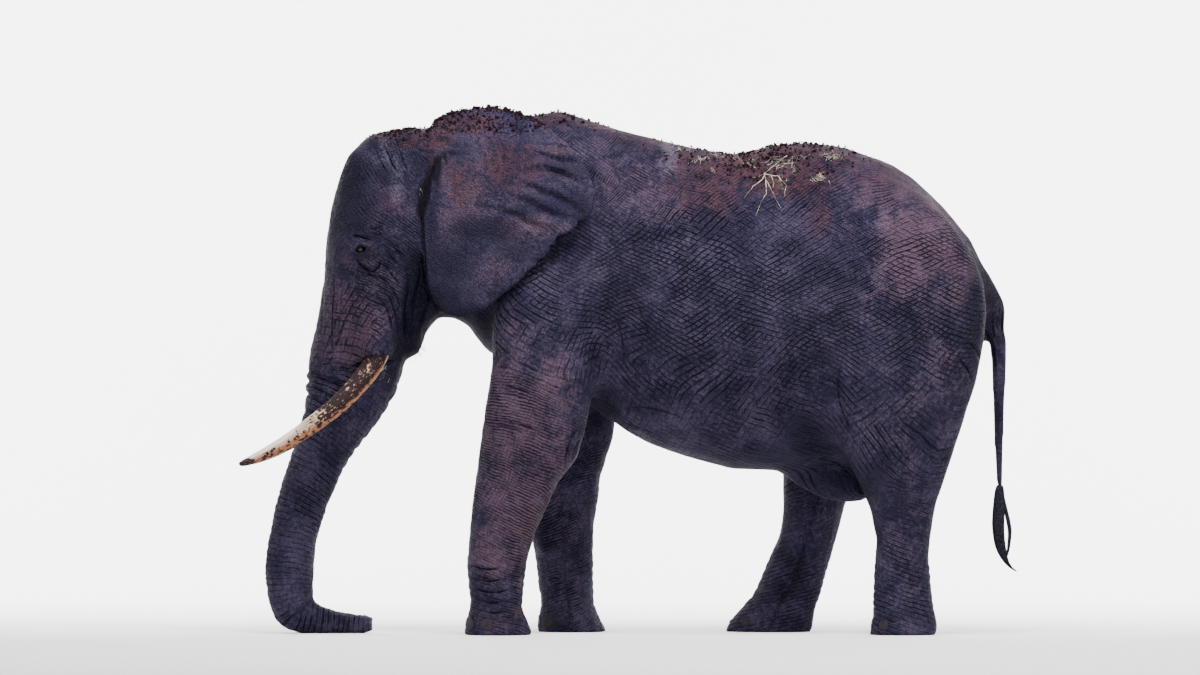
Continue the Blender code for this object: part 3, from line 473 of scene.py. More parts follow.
def ring(angle):
    """The height of rounded rings with narrow clefts between them, one ring to half a turn."""
    return np.abs(np.sin(angle)) ** 0.7 - 0.62


def trunk_rings(places, normals, share, uneven):
    """Rings round the trunk, broad at its root and close at its tip, deepest in front."""
    on = share > 0.01
    _, along, _ = line_distance(places[on][:, [0, 2]], smooth_line(TRUNK_LINE)[:, :2])
    way = np.arange(0, 3.2, RING_STEP)
    pitches = np.interp(way, *RING_PITCH)
    pitch = np.interp(along, way, pitches)
    turn = np.interp(along, way, np.cumsum(RING_STEP / pitches)) + 0.35 * lattice_noise(places[on], 0.10, 4)
    front = 0.55 + 0.45 * rise(0.3, -0.5, normals[on, 0])
    height = np.zeros(len(places))
    height[on] = share[on] * ring(np.pi * turn) * (np.interp(along, *RING_DEPTH) * pitch) * front * uneven[on]
    return height


def ankle_rings(places, part, uneven):
    """Rings round the ankles, strongest before and behind, where the skin bunches over the foot."""
    z = places[:, 2] + 0.020 * lattice_noise(places, 0.14, 5)
    level = rise(0.11, 0.17, places[:, 2]) * rise(0.62, 0.36, places[:, 2])
    for label, lines in (("foreleg", FORELEG_LINES), ("hindleg", HIND_LEG_LINES)):
        _, bearing = leg_place(places, lines)
        facing = 0.35 + 0.65 * rise(0.2, 1.0, np.abs(np.sin(bearing)))
        yield part[label] * level * facing * ANKLE_DEPTH * ring(np.pi * z / ANKLE_PITCH) * uneven


def named_folds(places, normals, part, uneven):
    """The height of each named fold: those of the head and body on both sides, those of the leg on the
    left, and the two at the ear's root."""
    flat = places[:, [0, 2]]
    sideways = rise(0.10, 0.55, np.abs(normals[:, 1]))
    bare = sideways * (1 - part["ear"]) * uneven
    for row in HEAD_FOLDS + BODY_FOLDS:
        yield bare * fold(flat, row)
    left = rise(0.05, -0.05, places[:, 1])
    for row in LEG_FOLDS:
        yield bare * left * fold(flat, row)
    yield rise(0.1, 0.4, np.abs(normals[:, 1])) * fold(flat, EAR_ROOT)
    yield sideways * part["ear"] * fold(flat, EAR_ROOT_LOBE)


def bend_ears(shift, places, share):
    """Moves both faces of an ear the same way, as a sheet: by its fan of folds and by noise. Each tear
    pulls the rim in towards the ear's hub, by a bell curve of the distance to it."""
    flat = places[:, [0, 2]]
    squashed = places * (1, 0, 1)
    ripple = lattice_noise(squashed, 0.09, 7)[:, None]
    wave = EAR_FAN_DEPTH * sum(fold(flat + 0.010 * ripple, row) for row in EAR_FOLDS)
    wave += 0.007 * lattice_noise(squashed, 0.16, 6) + 0.0022 * lattice_noise(squashed, 0.045, 8)
    shift[:, 1] += np.sign(places[:, 1]) * share * wave * rise(-1.24, -1.05, places[:, 0])
    out = flat - EAR_HUB
    bearing, far_out = np.degrees(np.arctan2(out[:, 1], out[:, 0])), np.hypot(*out.T)
    for aim, reach, depth in EAR_TEARS:
        rim = far_out[(share > 0.5) & (np.abs(bearing - aim) < 2)].max()
        inward = -np.array((np.cos(np.radians(aim)), np.sin(np.radians(aim))))
        torn = EAR_HUB - rim * inward
        pull = depth * np.exp(-(((flat - torn) / reach) ** 2).sum(axis=1)) * share
        shift[:, [0, 2]] += pull[:, None] * inward


def open_lids(shift, places):
    """The skin sinks behind each eyeball, stands proud round it in a heavy roll above and a slighter one
    below, and lies in rings and a pouch beyond. u runs along the slit, v across it."""
    for eye in EYES:
        close = np.linalg.norm(places - eye, axis=1) < 0.20
        ahead, up = (places[close][:, [0, 2]] - eye[[0, 2]]).T
        u = ahead * math.cos(EYE_TILT) + up * math.sin(EYE_TILT)
        v = up * math.cos(EYE_TILT) - ahead * math.sin(EYE_TILT)
        half_height = np.where(v > 0, 0.0175, 0.0180)
        opening = np.hypot(u / EYE_OPENING, v / half_height * (1 + 0.5 * (u / EYE_OPENING) ** 2))
        off = np.hypot(u, v) * (1 - 1 / opening.clip(0.2))
        above = rise(-0.006, 0.008, v)
        lid = above * 0.019 * bell((off - 0.019) / 0.014) + (1 - above) * 0.010 * bell((off - 0.009) / 0.007)
        mound = 0.010 * bell(np.hypot(u, v) / 0.060)
        rings = 0.0020 * np.cos(2 * np.pi * off / 0.013) * bell((off - 0.038) / 0.024) * (1 - 0.7 * above)
        far = np.hypot(ahead - 0.058, up + 0.025)
        pouch = 0.010 * bell((far - 0.068) / 0.020) * rise(0.02, -0.03, up)
        sunk = 0.040 * rise(1.05, 0.86, opening)
        shift[close, 1] += np.sign(eye[1]) * (lid + mound + rings + pouch - sunk)


def open_nostrils(shift, places, normals):
    """Two pits in the trunk's end, between the upper and the lower finger, which reach forward."""
    close = np.linalg.norm(places - TRUNK_END, axis=1) < 0.11
    across, up = places[close, 1], places[close, 2] - TRUNK_END[2]
    pit = np.hypot((np.abs(across) - 0.024) / 0.013, up / 0.012)
    fingers = 0.012 * rise(0.3, 0.9, np.abs(up) / 0.04)
    shift[close, 0] += rise(0.2, 0.8, normals[close, 0]) * (fingers - 0.030 * rise(1.3, 0.6, pit))


def fold_hide(hide):
    """Moves the skin's points: lumps, rings and folds along the normals, the ears and lids sideways, and
    the nostrils along the trunk. The soles stay flat on the floor."""
    places, normals = places_of(hide.data), normals_of(hide.data)
    part = regions_of(hide.data)
    uneven = 0.75 + 0.45 * lattice_noise(places, 0.12, 3)
    height = lumps(places, part)
    height += trunk_rings(places, normals, part["trunk"], uneven)
    for more in ankle_rings(places, part, uneven):
        height += more
    for more in named_folds(places, normals, part, uneven):
        height += more
    shift = height[:, None] * normals
    bend_ears(shift, places, part["ear"])
    open_lids(shift, places)
    open_nostrils(shift, places, normals)
    moved = places + shift
    moved[:, 2] = np.where(places[:, 2] < FLOOR_SKIN, 0.0, moved[:, 2].clip(0.0))
    move_to(hide.data, moved)


FACE_MERGE, FLANK_MERGE = 0.25, 1.0  # how freely the meshes of the face and of the flank are merged
MERGE_STEPS = 6
MERGE_FACTOR = 0.0002


def thin_out(obj, most):
    """Merges the skin's meshes down to the number of triangles, the flat flanks more than the face."""
    mesh = obj.data
    now = sum(len(p.vertices) - 2 for p in mesh.polygons)
    if now <= most:
        return
    part = regions_of(mesh)
    flank = np.clip(part["body"] + 0.4 * part["ear"] + 0.3 * part["hindleg"], 0, 1)
    free = FACE_MERGE + (FLANK_MERGE - FACE_MERGE) * flank
    group = obj.vertex_groups.new(name="free")
    for level in np.linspace(FACE_MERGE, FLANK_MERGE, MERGE_STEPS):
        near = np.abs(free - level) <= (FLANK_MERGE - FACE_MERGE) / 10 + 1e-6
        group.add(np.flatnonzero(near).tolist(), float(level), "REPLACE")
    merge = obj.modifiers.new("merge", "DECIMATE")
    merge.ratio = most / now
    merge.use_collapse_triangulate = True
    merge.vertex_group = group.name
    merge.vertex_group_factor = MERGE_FACTOR
    settle(obj)
    obj.vertex_groups.clear()


# How the hide's creases run, on the hide unrolled: a place along and up the animal, then for
# each of the two crossing kinds the angle up towards the tail in degrees and its strength.
RUNS = (
    (-0.45, 3.1, -50, 0.5, 45, 0.8), (-0.2, 2.75, -60, 0.9, 60, 0.6), (-0.2, 2.35, -57, 1.0, 50, 0.6),
    (-0.4, 2.05, -40, 0.8, 35, 0.8), (-0.7, 2.1, -40, 0.8, 40, 0.8), (-0.2, 1.84, -45, 0.9, 45, 0.8),
    (-0.2, 1.55, -35, 0.7, 65, 0.5), (0.1, 2.8, -55, 0.8, 60, 0.9), (0.1, 2.25, -52, 1.0, 38, 0.8),
    (0.1, 1.75, -62, 1.0, 15, 0.5), (0.05, 1.4, -24, 0.8, 75, 0.4), (0.45, 2.75, -42, 0.7, 32, 0.9),
    (0.5, 2.3, -44, 0.9, 35, 0.8), (0.5, 1.9, -43, 0.9, 30, 0.8), (0.45, 1.5, -55, 0.6, 30, 0.9),
    (0.8, 2.65, -50, 0.5, 40, 0.8), (0.8, 2.25, -40, 0.8, 33, 0.9), (0.8, 1.9, -36, 0.8, 45, 0.9),
    (0.75, 1.5, -28, 0.6, 60, 0.9), (1.0, 2.7, -50, 0.5, 32, 0.9), (1.1, 2.2, -50, 0.6, 27, 1.0),
    (1.05, 1.85, -38, 0.9, 42, 0.8), (1.0, 1.45, -60, 0.8, 60, 0.8), (1.05, 1.2, -60, 0.9, 30, 0.5),
    (1.45, 2.65, -25, 0.5, 30, 0.9), (1.4, 2.25, -45, 0.6, 35, 1.0), (1.4, 1.85, -42, 0.9, 20, 0.6),
    (1.4, 1.5, -52, 0.9, 30, 0.7), (1.45, 1.2, -60, 0.9, 30, 0.6), (1.75, 2.5, -35, 0.6, 35, 0.9),
    (1.8, 2.1, -46, 0.9, 33, 0.9), (1.75, 1.7, -40, 0.9, 30, 0.8), (1.75, 1.3, -55, 0.8, 25, 0.7),
    (2.05, 2.5, -25, 0.9, 50, 0.4), (2.05, 2.05, -32, 0.9, 30, 0.7), (2.05, 1.6, -25, 0.8, 40, 0.5),
    (2.25, 2.1, -60, 0.7, 20, 0.5), (0.7, 3.05, -25, 0.3, 25, 0.4), (1.4, 3.0, -30, 0.4, 20, 0.5),
    (0.45, 1.15, -15, 0.8, 75, 0.3), (0.9, 1.02, -10, 0.8, 80, 0.3), (1.3, 0.9, 0, 0.6, 80, 0.3),
    # The legs, the left foreleg first.
    (-0.8, 1.6, -3, 1.0, 60, 0.23), (-0.45, 1.55, -28, 0.6, 48, 0.45), (-0.75, 1.25, 0, 1.0, 80, 0.23),
    (-0.45, 1.2, -8, 0.7, 65, 0.41), (-0.7, 0.9, -30, 0.8, 55, 0.32), (-0.84, 0.45, 0, 1.0, 85, 0.23),
    (-0.84, 0.1, 0, 0.8, 85, 0.27), (-0.4, 0.45, 0, 1.0, 85, 0.23), (-0.42, 0.95, -15, 0.8, 70, 0.27),
    (1.72, 0.9, -35, 0.8, 40, 0.27), (1.72, 0.55, -10, 0.9, 80, 0.23), (1.72, 0.2, 0, 1.0, 85, 0.23),
    (1.2, 0.9, -30, 0.8, 50, 0.27), (1.1, 0.5, -15, 0.9, 70, 0.23), (0.95, 0.2, 0, 0.9, 85, 0.23),
    # The head, from the crown down, and the jaw.
    (-1.6, 3.05, -60, 0.5, 20, 0.4), (-1.42, 2.98, -75, 0.5, 22, 0.5), (-1.52, 2.75, -68, 0.6, 25, 0.35),
    (-1.78, 2.8, -80, 0.45, 15, 0.35), (-1.45, 2.55, -52, 0.75, 30, 0.2), (-1.5, 2.38, -50, 0.8, 30, 0.3),
    (-1.88, 2.4, -10, 0.2, 84, 0.8), (-1.85, 2.1, 0, 0.4, 86, 1.0), (-1.95, 1.85, 0, 0.6, 88, 0.9),
    (-1.66, 2.24, 0, 0.8, 80, 0.6), (-1.6, 2.12, -20, 0.8, 75, 0.4), (-1.5, 2.05, -60, 1.0, 20, 0.5),
    (-1.48, 1.85, -72, 1.0, 15, 0.5), (-1.66, 1.9, 5, 0.4, 80, 0.5), (-1.36, 2.1, -66, 0.9, 18, 0.8),
    (-1.38, 1.85, -70, 0.9, 15, 0.8),
    # The trunk, whose rings lie closer, and the tail.
    (-1.85, 1.6, 0, 0.9, 88, 0.36), (-1.75, 1.3, 0, 1.0, 86, 0.36), (-1.95, 1.0, 0, 1.0, 88, 0.32),
    (-2.05, 0.5, 0, 1.0, 88, 0.27), (-2.15, 0.0, 0, 1.0, 88, 0.27), (-2.1, -0.5, 0, 0.9, 88, 0.27),
    (-1.9, -1.0, 0, 0.9, 85, 0.23), (2.34, 1.6, 0, 0.7, 85, 0.14), (2.34, 1.1, 0, 0.7, 85, 0.14),
)
RUN_REACH = 0.17  # how far a row of the table is felt
TRUNK_STRETCH = 1.2
PLANE = ((-2.8, -1.6), (2.8, 3.8))  # the unrolled hide's corners
PLANE_STEP = 0.04


def run_grids():
    """On an even grid over the plane: for both kinds of crease the angle in radians and the strength, each
    the mean of the table's rows, weighted by a bell curve of their distance."""
    rows = [np.arange(low, high, PLANE_STEP) for low, high in zip(*PLANE)]
    across, up = np.meshgrid(*rows, indexing="ij")
    reach = 2 * RUN_REACH**2
    weights = [np.exp(-((across - row[0]) ** 2 + (up - row[1]) ** 2) / reach) + 1e-9 for row in RUNS]
    total = sum(weights)
    means = [sum(w * row[k] for w, row in zip(weights, RUNS)) / total for k in range(2, 6)]
    return np.radians(means[0]), means[1], np.radians(means[2]), means[3]


def potential(angle):
    """A height over the plane whose level lines run at the angles: its slope is fitted to their unit
    normals by least squares, through Fourier sums on the plane mirrored at its edges."""
    across, up = -np.sin(angle), np.cos(angle)
    across = np.block([[across, across[:, ::-1]], [-across[::-1], -across[::-1, ::-1]]])
    up = np.block([[up, -up[:, ::-1]], [up[::-1], -up[::-1, ::-1]]])
    wave_x = 2 * np.pi * np.fft.fftfreq(across.shape[0], PLANE_STEP)[:, None]
    wave_z = 2 * np.pi * np.fft.fftfreq(across.shape[1], PLANE_STEP)[None]
    steep = wave_x**2 + wave_z**2
    steep[0, 0] = 1
    waves = -1j * (wave_x * np.fft.fft2(across) + wave_z * np.fft.fft2(up)) / steep
    return np.fft.ifft2(waves).real[: angle.shape[0], : angle.shape[1]]


def read_grid(grid, lay):
    """The grid's value at each place of the plane, linear between its points."""
    at = (lay - PLANE[0]) / PLANE_STEP
    cell = np.clip(at.astype(int), 0, np.array(grid.shape) - 2)
    t, w = np.clip(at - cell, 0, 1).T
    i, j = cell.T
    lower = grid[i, j] * (1 - t) + grid[i + 1, j] * t
    upper = grid[i, j + 1] * (1 - t) + grid[i + 1, j + 1] * t
    return lower * (1 - w) + upper * w


def on_line(line, length, way):
    """The points of a line at a way along it, between its own points, which lie evenly."""
    at = np.linspace(0, length, len(line))
    return np.stack([np.interp(way, at, line[:, k]) for k in (0, 1)], axis=1)


def nearest_fold(flat, folds):
    """The signed distance to the nearest of the named folds, positive on its left, and how strongly that
    fold is drawn: fully within 18 mm, not at all beyond 30 mm, and fading at its ends."""
    signed = np.full(len(flat), 0.1)
    drawn = np.zeros(len(flat))
    for depth, _, *path in folds:
        line = smooth_line(path)
        inside = np.flatnonzero(near_line(flat, line, 0.06))
        if depth < 0 or not len(inside):
            continue
        far, along, length = line_distance(flat[inside], line)
        ahead = on_line(line, length, along + 0.01) - on_line(line, length, along - 0.01)
        off = flat[inside] - on_line(line, length, along)
        side = np.sign(ahead[:, 0] * off[:, 1] - ahead[:, 1] * off[:, 0])
        nearer = far < np.abs(signed[inside])
        chosen = inside[nearer]
        signed[chosen] = (side * far)[nearer]
        shown = min(1.0, depth / 0.009) * fading(along, length) ** 0.9 * rise(0.030, 0.018, far)
        drawn[chosen] = shown[nearer]
    return signed, drawn


# Patches of soil, dust, a pale grey film and painted shade, seen from the side: the middle in x and z, half
# width, half height and strength. Soil is red earth thrown over the back, dust is pink and dry, the pale grey
# film is dust and partly a painted sheen, with a painted highlight along the upper lid, and the last kind is
# painted shade: darker hide where shade falls, round the eyes, at the ear's root, under the jaw and neck, in
# the armpit and under the belly.
PATCHES = {
    "soil": (
        (-1.75, 1.9, 0.12, 0.2, 0.25), (-1.66, 2.08, 0.14, 0.2, 0.45), (-1.62, 2.62, 0.16, 0.12, 0.45),
        (-1.48, 2.7, 0.12, 0.1, 0.55), (-1.3, 3.1, 0.3, 0.06, 0.9), (-1.255, 2.985, 0.06, 0.1, 0.75),
        (-1.1, 3.22, 0.34, 0.1, 0.85), (-1.06, 2.86, 0.12, 0.24, 0.7), (-0.8, 0.12, 0.35, 0.1, 0.55),
        (-0.78, 2.98, 0.24, 0.2, 0.8), (-0.35, 0.45, 0.16, 0.4, 0.35), (-0.3, 3.24, 0.3, 0.07, 0.6),
        (0.5, 2.8, 0.3, 0.22, 0.75), (0.62, 1.32, 0.4, 0.22, 0.35), (0.85, 3.02, 0.62, 0.24, 1.1),
        (0.9, 2.9, 0.5, 0.16, 1.1), (1.2, 2.72, 0.1, 0.26, 0.7), (1.5, 2.9, 0.3, 0.16, 0.55),
    ),
    "dust": (
        (-1.8, 1.95, 0.3, 0.46, 0.7), (-1.64, 2.2, 0.26, 0.28, 0.68), (-1.62, 1.95, 0.18, 0.22, 0.35),
        (-1.55, 2.55, 0.24, 0.3, 0.34), (-1.18, 2.62, 0.06, 0.22, 0.5), (-0.98, 2.78, 0.12, 0.12, 0.8),
        (-0.95, 2.68, 0.26, 0.24, 0.45), (-0.95, 2.75, 0.46, 0.36, 0.42), (-0.86, 2.3, 0.16, 0.12, 0.55),
        (-0.72, 1.05, 0.24, 0.3, 0.55), (-0.7, 0.75, 0.3, 0.45, 0.95), (-0.66, 1.15, 0.42, 0.85, 0.8),
        (-0.62, 1.3, 0.16, 0.3, 1.0), (-0.62, 2.56, 0.26, 0.09, 0.7), (-0.5, 1.55, 0.22, 0.34, 0.75),
        (-0.4, 2.95, 0.16, 0.2, 0.35), (0.2, 2.8, 0.6, 0.3, 0.55), (1.6, 2.75, 0.36, 0.2, 0.75),
        (1.7, 1.3, 0.3, 0.36, 0.45), (1.72, 0.55, 0.22, 0.45, 0.35), (1.85, 2.45, 0.38, 0.46, 1.0),
        (2.0, 1.6, 0.2, 0.35, 0.45), (2.3, 2.1, 0.12, 0.2, 0.45),
    ),
    "sheen_and_dust": (
        # A pale grey film of dust, partly a painted sheen; the first row is a painted highlight along the
        # upper lid.
        (-1.695, 2.48, 0.045, 0.014, 0.55), (-1.55, 3.06, 0.07, 0.12, 0.4), (-1.46, 2.86, 0.05, 0.2, 0.45),
        (-1.245, 2.75, 0.018, 0.08, 0.45), (-0.05, 2.4, 0.4, 0.4, 0.1), (0.23, 3.01, 0.07, 0.14, 0.6),
        (1.13, 1.75, 0.1, 0.3, 0.16),
    ),
    # Painted shade: darker hide where shade falls, round the eyes, at the ear's root, under the jaw and neck,
    # in the armpit and under the belly.
    "painted_shade": (
        (-2.05, 0.9, 0.2, 0.6, 0.25), (-1.86, 2.72, 0.08, 0.45, 0.75), (-1.76, 2.85, 0.2, 0.34, 0.8),
        (-1.7, 2.512, 0.06, 0.012, 0.8), (-1.69, 2.422, 0.046, 0.034, 1.0), (-1.675, 2.385, 0.1, 0.07, 0.7),
        (-1.58, 2.5, 0.14, 0.05, 0.6), (-1.58, 2.9, 0.1, 0.1, 0.6), (-1.4, 1.6, 0.16, 0.3, 0.8),
        (-1.36, 2.1, 0.1, 0.36, 0.9), (-1.25, 2.55, 0.07, 0.45, 0.6), (-1.22, 2.1, 0.26, 0.1, 1.0),
        (-1.212, 2.9, 0.028, 0.13, 1.0), (-1.12, 2.02, 0.24, 0.1, 1.1), (-1.1, 2.34, 0.18, 0.14, 0.7),
        (-1.1, 3.03, 0.08, 0.028, 0.95), (-0.96, 1.86, 0.09, 0.16, 1.1), (-0.95, 1.75, 0.1, 0.25, 0.45),
        (-0.95, 1.96, 0.1, 0.16, 1.0), (-0.92, 2.55, 0.22, 0.1, 0.8), (-0.72, 2.42, 0.14, 0.1, 0.45),
        (-0.66, 2.66, 0.2, 0.04, 0.55), (-0.4, 2.72, 0.22, 0.1, 0.6), (-0.32, 2.92, 0.16, 0.06, 0.6),
        (-0.3, 2.66, 0.08, 0.12, 0.8), (-0.16, 1.42, 0.1, 0.16, 0.85), (0.9, 1.1, 0.7, 0.14, 0.6),
        (1.12, 1.22, 0.16, 0.16, 0.9), (1.3, 0.98, 0.35, 0.14, 0.85), (2.18, 1.9, 0.1, 0.45, 0.7),
    ),
}
# The body's lower and upper edge along x, for unrolling it.
BODY_X = (-1.2, -0.4, 0.5, 1.5, 2.2)
BODY_LOW = (2.0, 1.55, 1.06, 1.05, 1.76)
BODY_HIGH = (3.20, 3.29, 3.06, 3.02, 2.45)


def unrolled(places):
    """Each region's places on the hide unrolled, along and up the animal: the distance round a rounded form
    from its outermost line is its half width times the bearing."""
    x, y, z = places.T
    middle = (np.interp(x, BODY_X, BODY_LOW) + np.interp(x, BODY_X, BODY_HIGH)) / 2
    _, along, _ = line_distance(places[:, [0, 2]], smooth_line(TRUNK_LINE)[:, :2])
    trunk_x = np.interp(along, (0, 1.8, 2.2, 2.6), (-1.72, -2.14, -1.95, -1.63))
    foreleg_x, foreleg_bearing = leg_place(places, FORELEG_LINES)
    hindleg_x, hindleg_bearing = leg_place(places, HIND_LEG_LINES)

    def bearing(off):
        """The bearing round an upright form from its side, by the distance from its middle."""
        return np.arctan2(off, np.abs(y))

    columns = {
        "body": (x, middle + 0.85 * bearing(z - middle)),
        "head": (-1.45 + 0.36 * bearing(x + 1.45), z),
        "trunk": (trunk_x + 0.20 * bearing(x - trunk_x), 2.0 - TRUNK_STRETCH * along),
        "ear": (x, z),
        "foreleg": (foreleg_x + 0.19 * foreleg_bearing, z),
        "hindleg": (hindleg_x + 0.19 * hindleg_bearing, z),
        "tail": (2.335 + 0.05 * bearing(x - 2.335), z),
    }
    return {label: np.stack(pair, axis=1) for label, pair in columns.items()}


def fineness(places, share):
    """How much of the hide's pattern is of half size, from 0 to 1: most on the ears and tail, then on the
    forelegs above the ankle, the head, the trunk, and the upper body."""
    z = places[:, 2]
    ankle = rise(0.62, 0.40, z)
    fine = (share["foreleg"] + 0.45 * share["hindleg"]) * (1 - 0.45 * ankle)
    fine = fine + (0.35 + 0.30 * rise(2.0, 2.3, z)) * share["head"]
    fine = fine + (0.30 + 0.5 * rise(1.7, 2.0, z)) * share["trunk"] + share["ear"] + 0.8 * share["tail"]
    patchy = 0.35 * rise(-0.2, 0.4, lattice_noise(places, 0.45, 12))
    return fine + share["body"] * np.maximum(patchy, 0.70 * rise(2.45, 2.85, z))


def dirt_and_painted_light_on(places, normals, share):
    """How much soil, dust, pale grey film and painted shade lies at each point: the strongest patch of each
    kind there, with ragged edges. Soil also lies on what faces up, and falls from what faces down."""
    x, y, z = places.T
    dirt_and_painted_light = np.zeros((len(places), 4))
    ragged = 0.34 * lattice_noise(places, 0.15, 14) + 0.22 * lattice_noise(places, 0.055, 15)
    for k, rows in enumerate(PATCHES.values()):
        for middle_x, middle_z, wide, tall, strength in rows:
            t = np.hypot((x - middle_x) / wide, (z - middle_z) / tall) + ragged * min(1, wide / 0.10)
            dirt_and_painted_light[:, k] = np.maximum(dirt_and_painted_light[:, k], strength * rise(1.6, 0.2, t))
    dirt_and_painted_light[:, 0] *= 1 - 0.5 * rise(0.0, -0.6, normals[:, 2])
    dirt_and_painted_light[:, 1] *= 1 - 0.65 * share["foreleg"] * (y > 0)
    dirt_and_painted_light[:, 0] = np.maximum(dirt_and_painted_light[:, 0], 0.75 * rise(0.45, 0.95, normals[:, 2]) * rise(2.2, 2.9, z))
    return dirt_and_painted_light


STORED = {1: ("FLOAT", "value"), 3: ("FLOAT_VECTOR", "vector"), 4: ("FLOAT_COLOR", "color")}


def store(mesh, name, values):
    """Keeps values on the mesh's points: one, three or four numbers for each."""
    values = np.asarray(values, np.float32).reshape(len(mesh.vertices), -1)
    kind, field = STORED[values.shape[1]]
    mesh.attributes.new(name, kind, "POINT").data.foreach_set(field, values.ravel())


def describe(mesh):
    """Gives each point what its finish needs. lay: the two heights whose level lines are the crossing
    creases, and the signed distance to the nearest named fold. creases: how strong the first kind, the
    second kind, the fold and the pebbles are. The third: how much soil, dust, pale grey film (dust, and
    partly a painted sheen) and painted shade lies there. fine: see fineness."""
    places, normals = places_of(mesh), normals_of(mesh)
    part = regions_of(mesh)
    flat = places[:, [0, 2]]
    rounds = 24
    soft = spread(np.stack([part[label] for label in HIDE_GROUPS], axis=1), edges_of(mesh), rounds)
    soft /= soft.sum(axis=1, keepdims=True).clip(1e-6)
    share = dict(zip(HIDE_GROUPS, soft.T))
    lays = unrolled(places)
    lay = sum(share[label][:, None] * lays[label] for label in HIDE_GROUPS)
    first, first_share, second, second_share = run_grids()
    signed, drawn = nearest_fold(flat, (EAR_ROOT, EAR_ROOT_LOBE, *HEAD_FOLDS, *BODY_FOLDS))
    limb_signed, limb_drawn = nearest_fold(flat, LEG_FOLDS)
    on_limb = (places[:, 1] < 0) & (share["foreleg"] > 0.4) & (np.abs(limb_signed) < np.abs(signed))
    signed, drawn = np.where(on_limb, limb_signed, signed), np.where(on_limb, limb_drawn, drawn)
    drawn *= rise(0.15, 0.5, np.abs(normals[:, 1])) * (1 - share["ear"])
    by_eye = sum(bell(np.linalg.norm(places - eye, axis=1) / 0.095) for eye in EYES)
    bare = (1 - 0.80 * share["ear"]) * (1 - 0.85 * by_eye)
    pebbles = 0.55 + 0.45 * share["ear"] + 0.3 * share["head"]
    crossing = [bare * read_grid(strength, lay) for strength in (first_share, second_share)]
    heights = [read_grid(potential(angle), lay) for angle in (first, second)]
    store(mesh, "lay", np.stack([*heights, signed], axis=1))
    store(mesh, "creases", np.stack([*crossing, drawn, pebbles], axis=1).clip(0, 1))
    store(mesh, "dirt_and_painted_light", dirt_and_painted_light_on(places, normals, share).clip(0, 1))
    store(mesh, "fine", fineness(places, share).clip(0, 1))


class Value:
    """A number or a colour that a finish works out at each place. A sum on values adds the node for it."""

    def __init__(self, finish, socket):
        self.finish, self.socket = finish, socket

    def calc(self, operation, *values):
        """The result of one sum on numbers and values."""
        return self.finish.add("ShaderNodeMath", dict(enumerate(values)), operation=operation)

    def __add__(self, other):
        return self.calc("ADD", self, other)

    def __sub__(self, other):
        return self.calc("SUBTRACT", self, other)

    def __rsub__(self, other):
        return self.calc("SUBTRACT", other, self)

    def __mul__(self, other):
        return self.calc("MULTIPLY", self, other)

    def __truediv__(self, other):
        return self.calc("DIVIDE", self, other)

    def __abs__(self):
        return self.calc("ABSOLUTE", self)

    __radd__ = __add__

    def most(self, other):
        """The greater of the two."""
        return self.calc("MAXIMUM", self, other)

    def least(self, other):
        """The smaller of the two."""
        return self.calc("MINIMUM", self, other)

    def ramp(self, low, high):
        """A smooth step from 0 at low to 1 at high."""
        feeds = {"Value": self, "From Min": low, "From Max": high}
        return self.finish.add("ShaderNodeMapRange", feeds, interpolation_type="SMOOTHSTEP")


class Finish:
    """A material while it is made: nodes are added one by one, and coat hands over the result."""

    def __init__(self, name):
        self.material = bpy.data.materials.new(name)
        self.material.use_nodes = True
        self.tree = self.material.node_tree
        self.shader = self.tree.nodes["Principled BSDF"]
        self.place = self.add("ShaderNodeTexCoord", out="Object")

    def feed(self, socket, value):
        """Links a value to the socket, or sets the socket to a number or colour."""
        if isinstance(value, Value):
            self.tree.links.new(value.socket, socket)
        else:
            socket.default_value = value

    def add(self, kind, feeds=None, out=0, **settings):
        """Adds a node, sets it up, feeds its sockets, and gives what comes out of it."""
        node = self.tree.nodes.new(kind)
        for name, value in settings.items():
            setattr(node, name, value)
        for socket, value in (feeds or {}).items():
            self.feed(node.inputs[socket], value)
        return Value(self, node.outputs[out])

    def stored(self, name, out):
        """What the mesh keeps at its points under the name."""
        return self.add("ShaderNodeAttribute", attribute_name=name, out=out)

    def parts(self, value, kind="ShaderNodeSeparateXYZ"):
        """The three numbers of a place, or of a colour with the other kind of node."""
        return [Value(self, socket) for socket in self.add(kind, {0: value}).socket.node.outputs]

    def stretched(self, place, scale):
        """A place scaled along each axis, so that what is drawn over it stretches."""
        return self.add("ShaderNodeMapping", {"Vector": place, "Scale": scale})

    def blend(self, share, first, second):
        """A colour between two, by share."""
        return self.add("ShaderNodeMix", {"Factor": share, 6: first, 7: second}, out=2, data_type="RGBA")

    def cloud(self, size, detail=3.0, roughness=0.55, offset=0.0, place=None):
        """Soft noise from 0 to 1 with lumps of the given size in metres."""
        place = place or self.place
        if offset:
            place = self.add("ShaderNodeVectorMath", {0: place, 1: (offset, offset, offset)})
        feeds = {"Vector": place, "Scale": 1 / size, "Detail": detail, "Roughness": roughness}
        return self.add("ShaderNodeTexNoise", feeds, out="Fac")

    def lines(self, coordinate, pitch, wander, width):
        """Creases across a coordinate: 1 in the bottom of each and 0 between them. The coordinate wanders,
        so that no two are straight or evenly spaced."""
        turn = (coordinate + wander) / pitch
        return turn.calc("PINGPONG", turn, 0.5).ramp(width, 0.0)

    def coat(self, colour, roughness, shine=0.5, height=None, strength=1.0, deep=0.001):
        """Gives the shader its colour, roughness and shine, and bumps of a strength and depth."""
        self.feed(self.shader.inputs["Base Color"], colour)
        self.feed(self.shader.inputs["Roughness"], roughness)
        self.shader.inputs["Specular IOR Level"].default_value = shine
        if height:
            bump = self.add("ShaderNodeBump", {"Height": height, "Strength": strength, "Distance": deep})
            self.feed(self.shader.inputs["Normal"], bump)
        return self.material


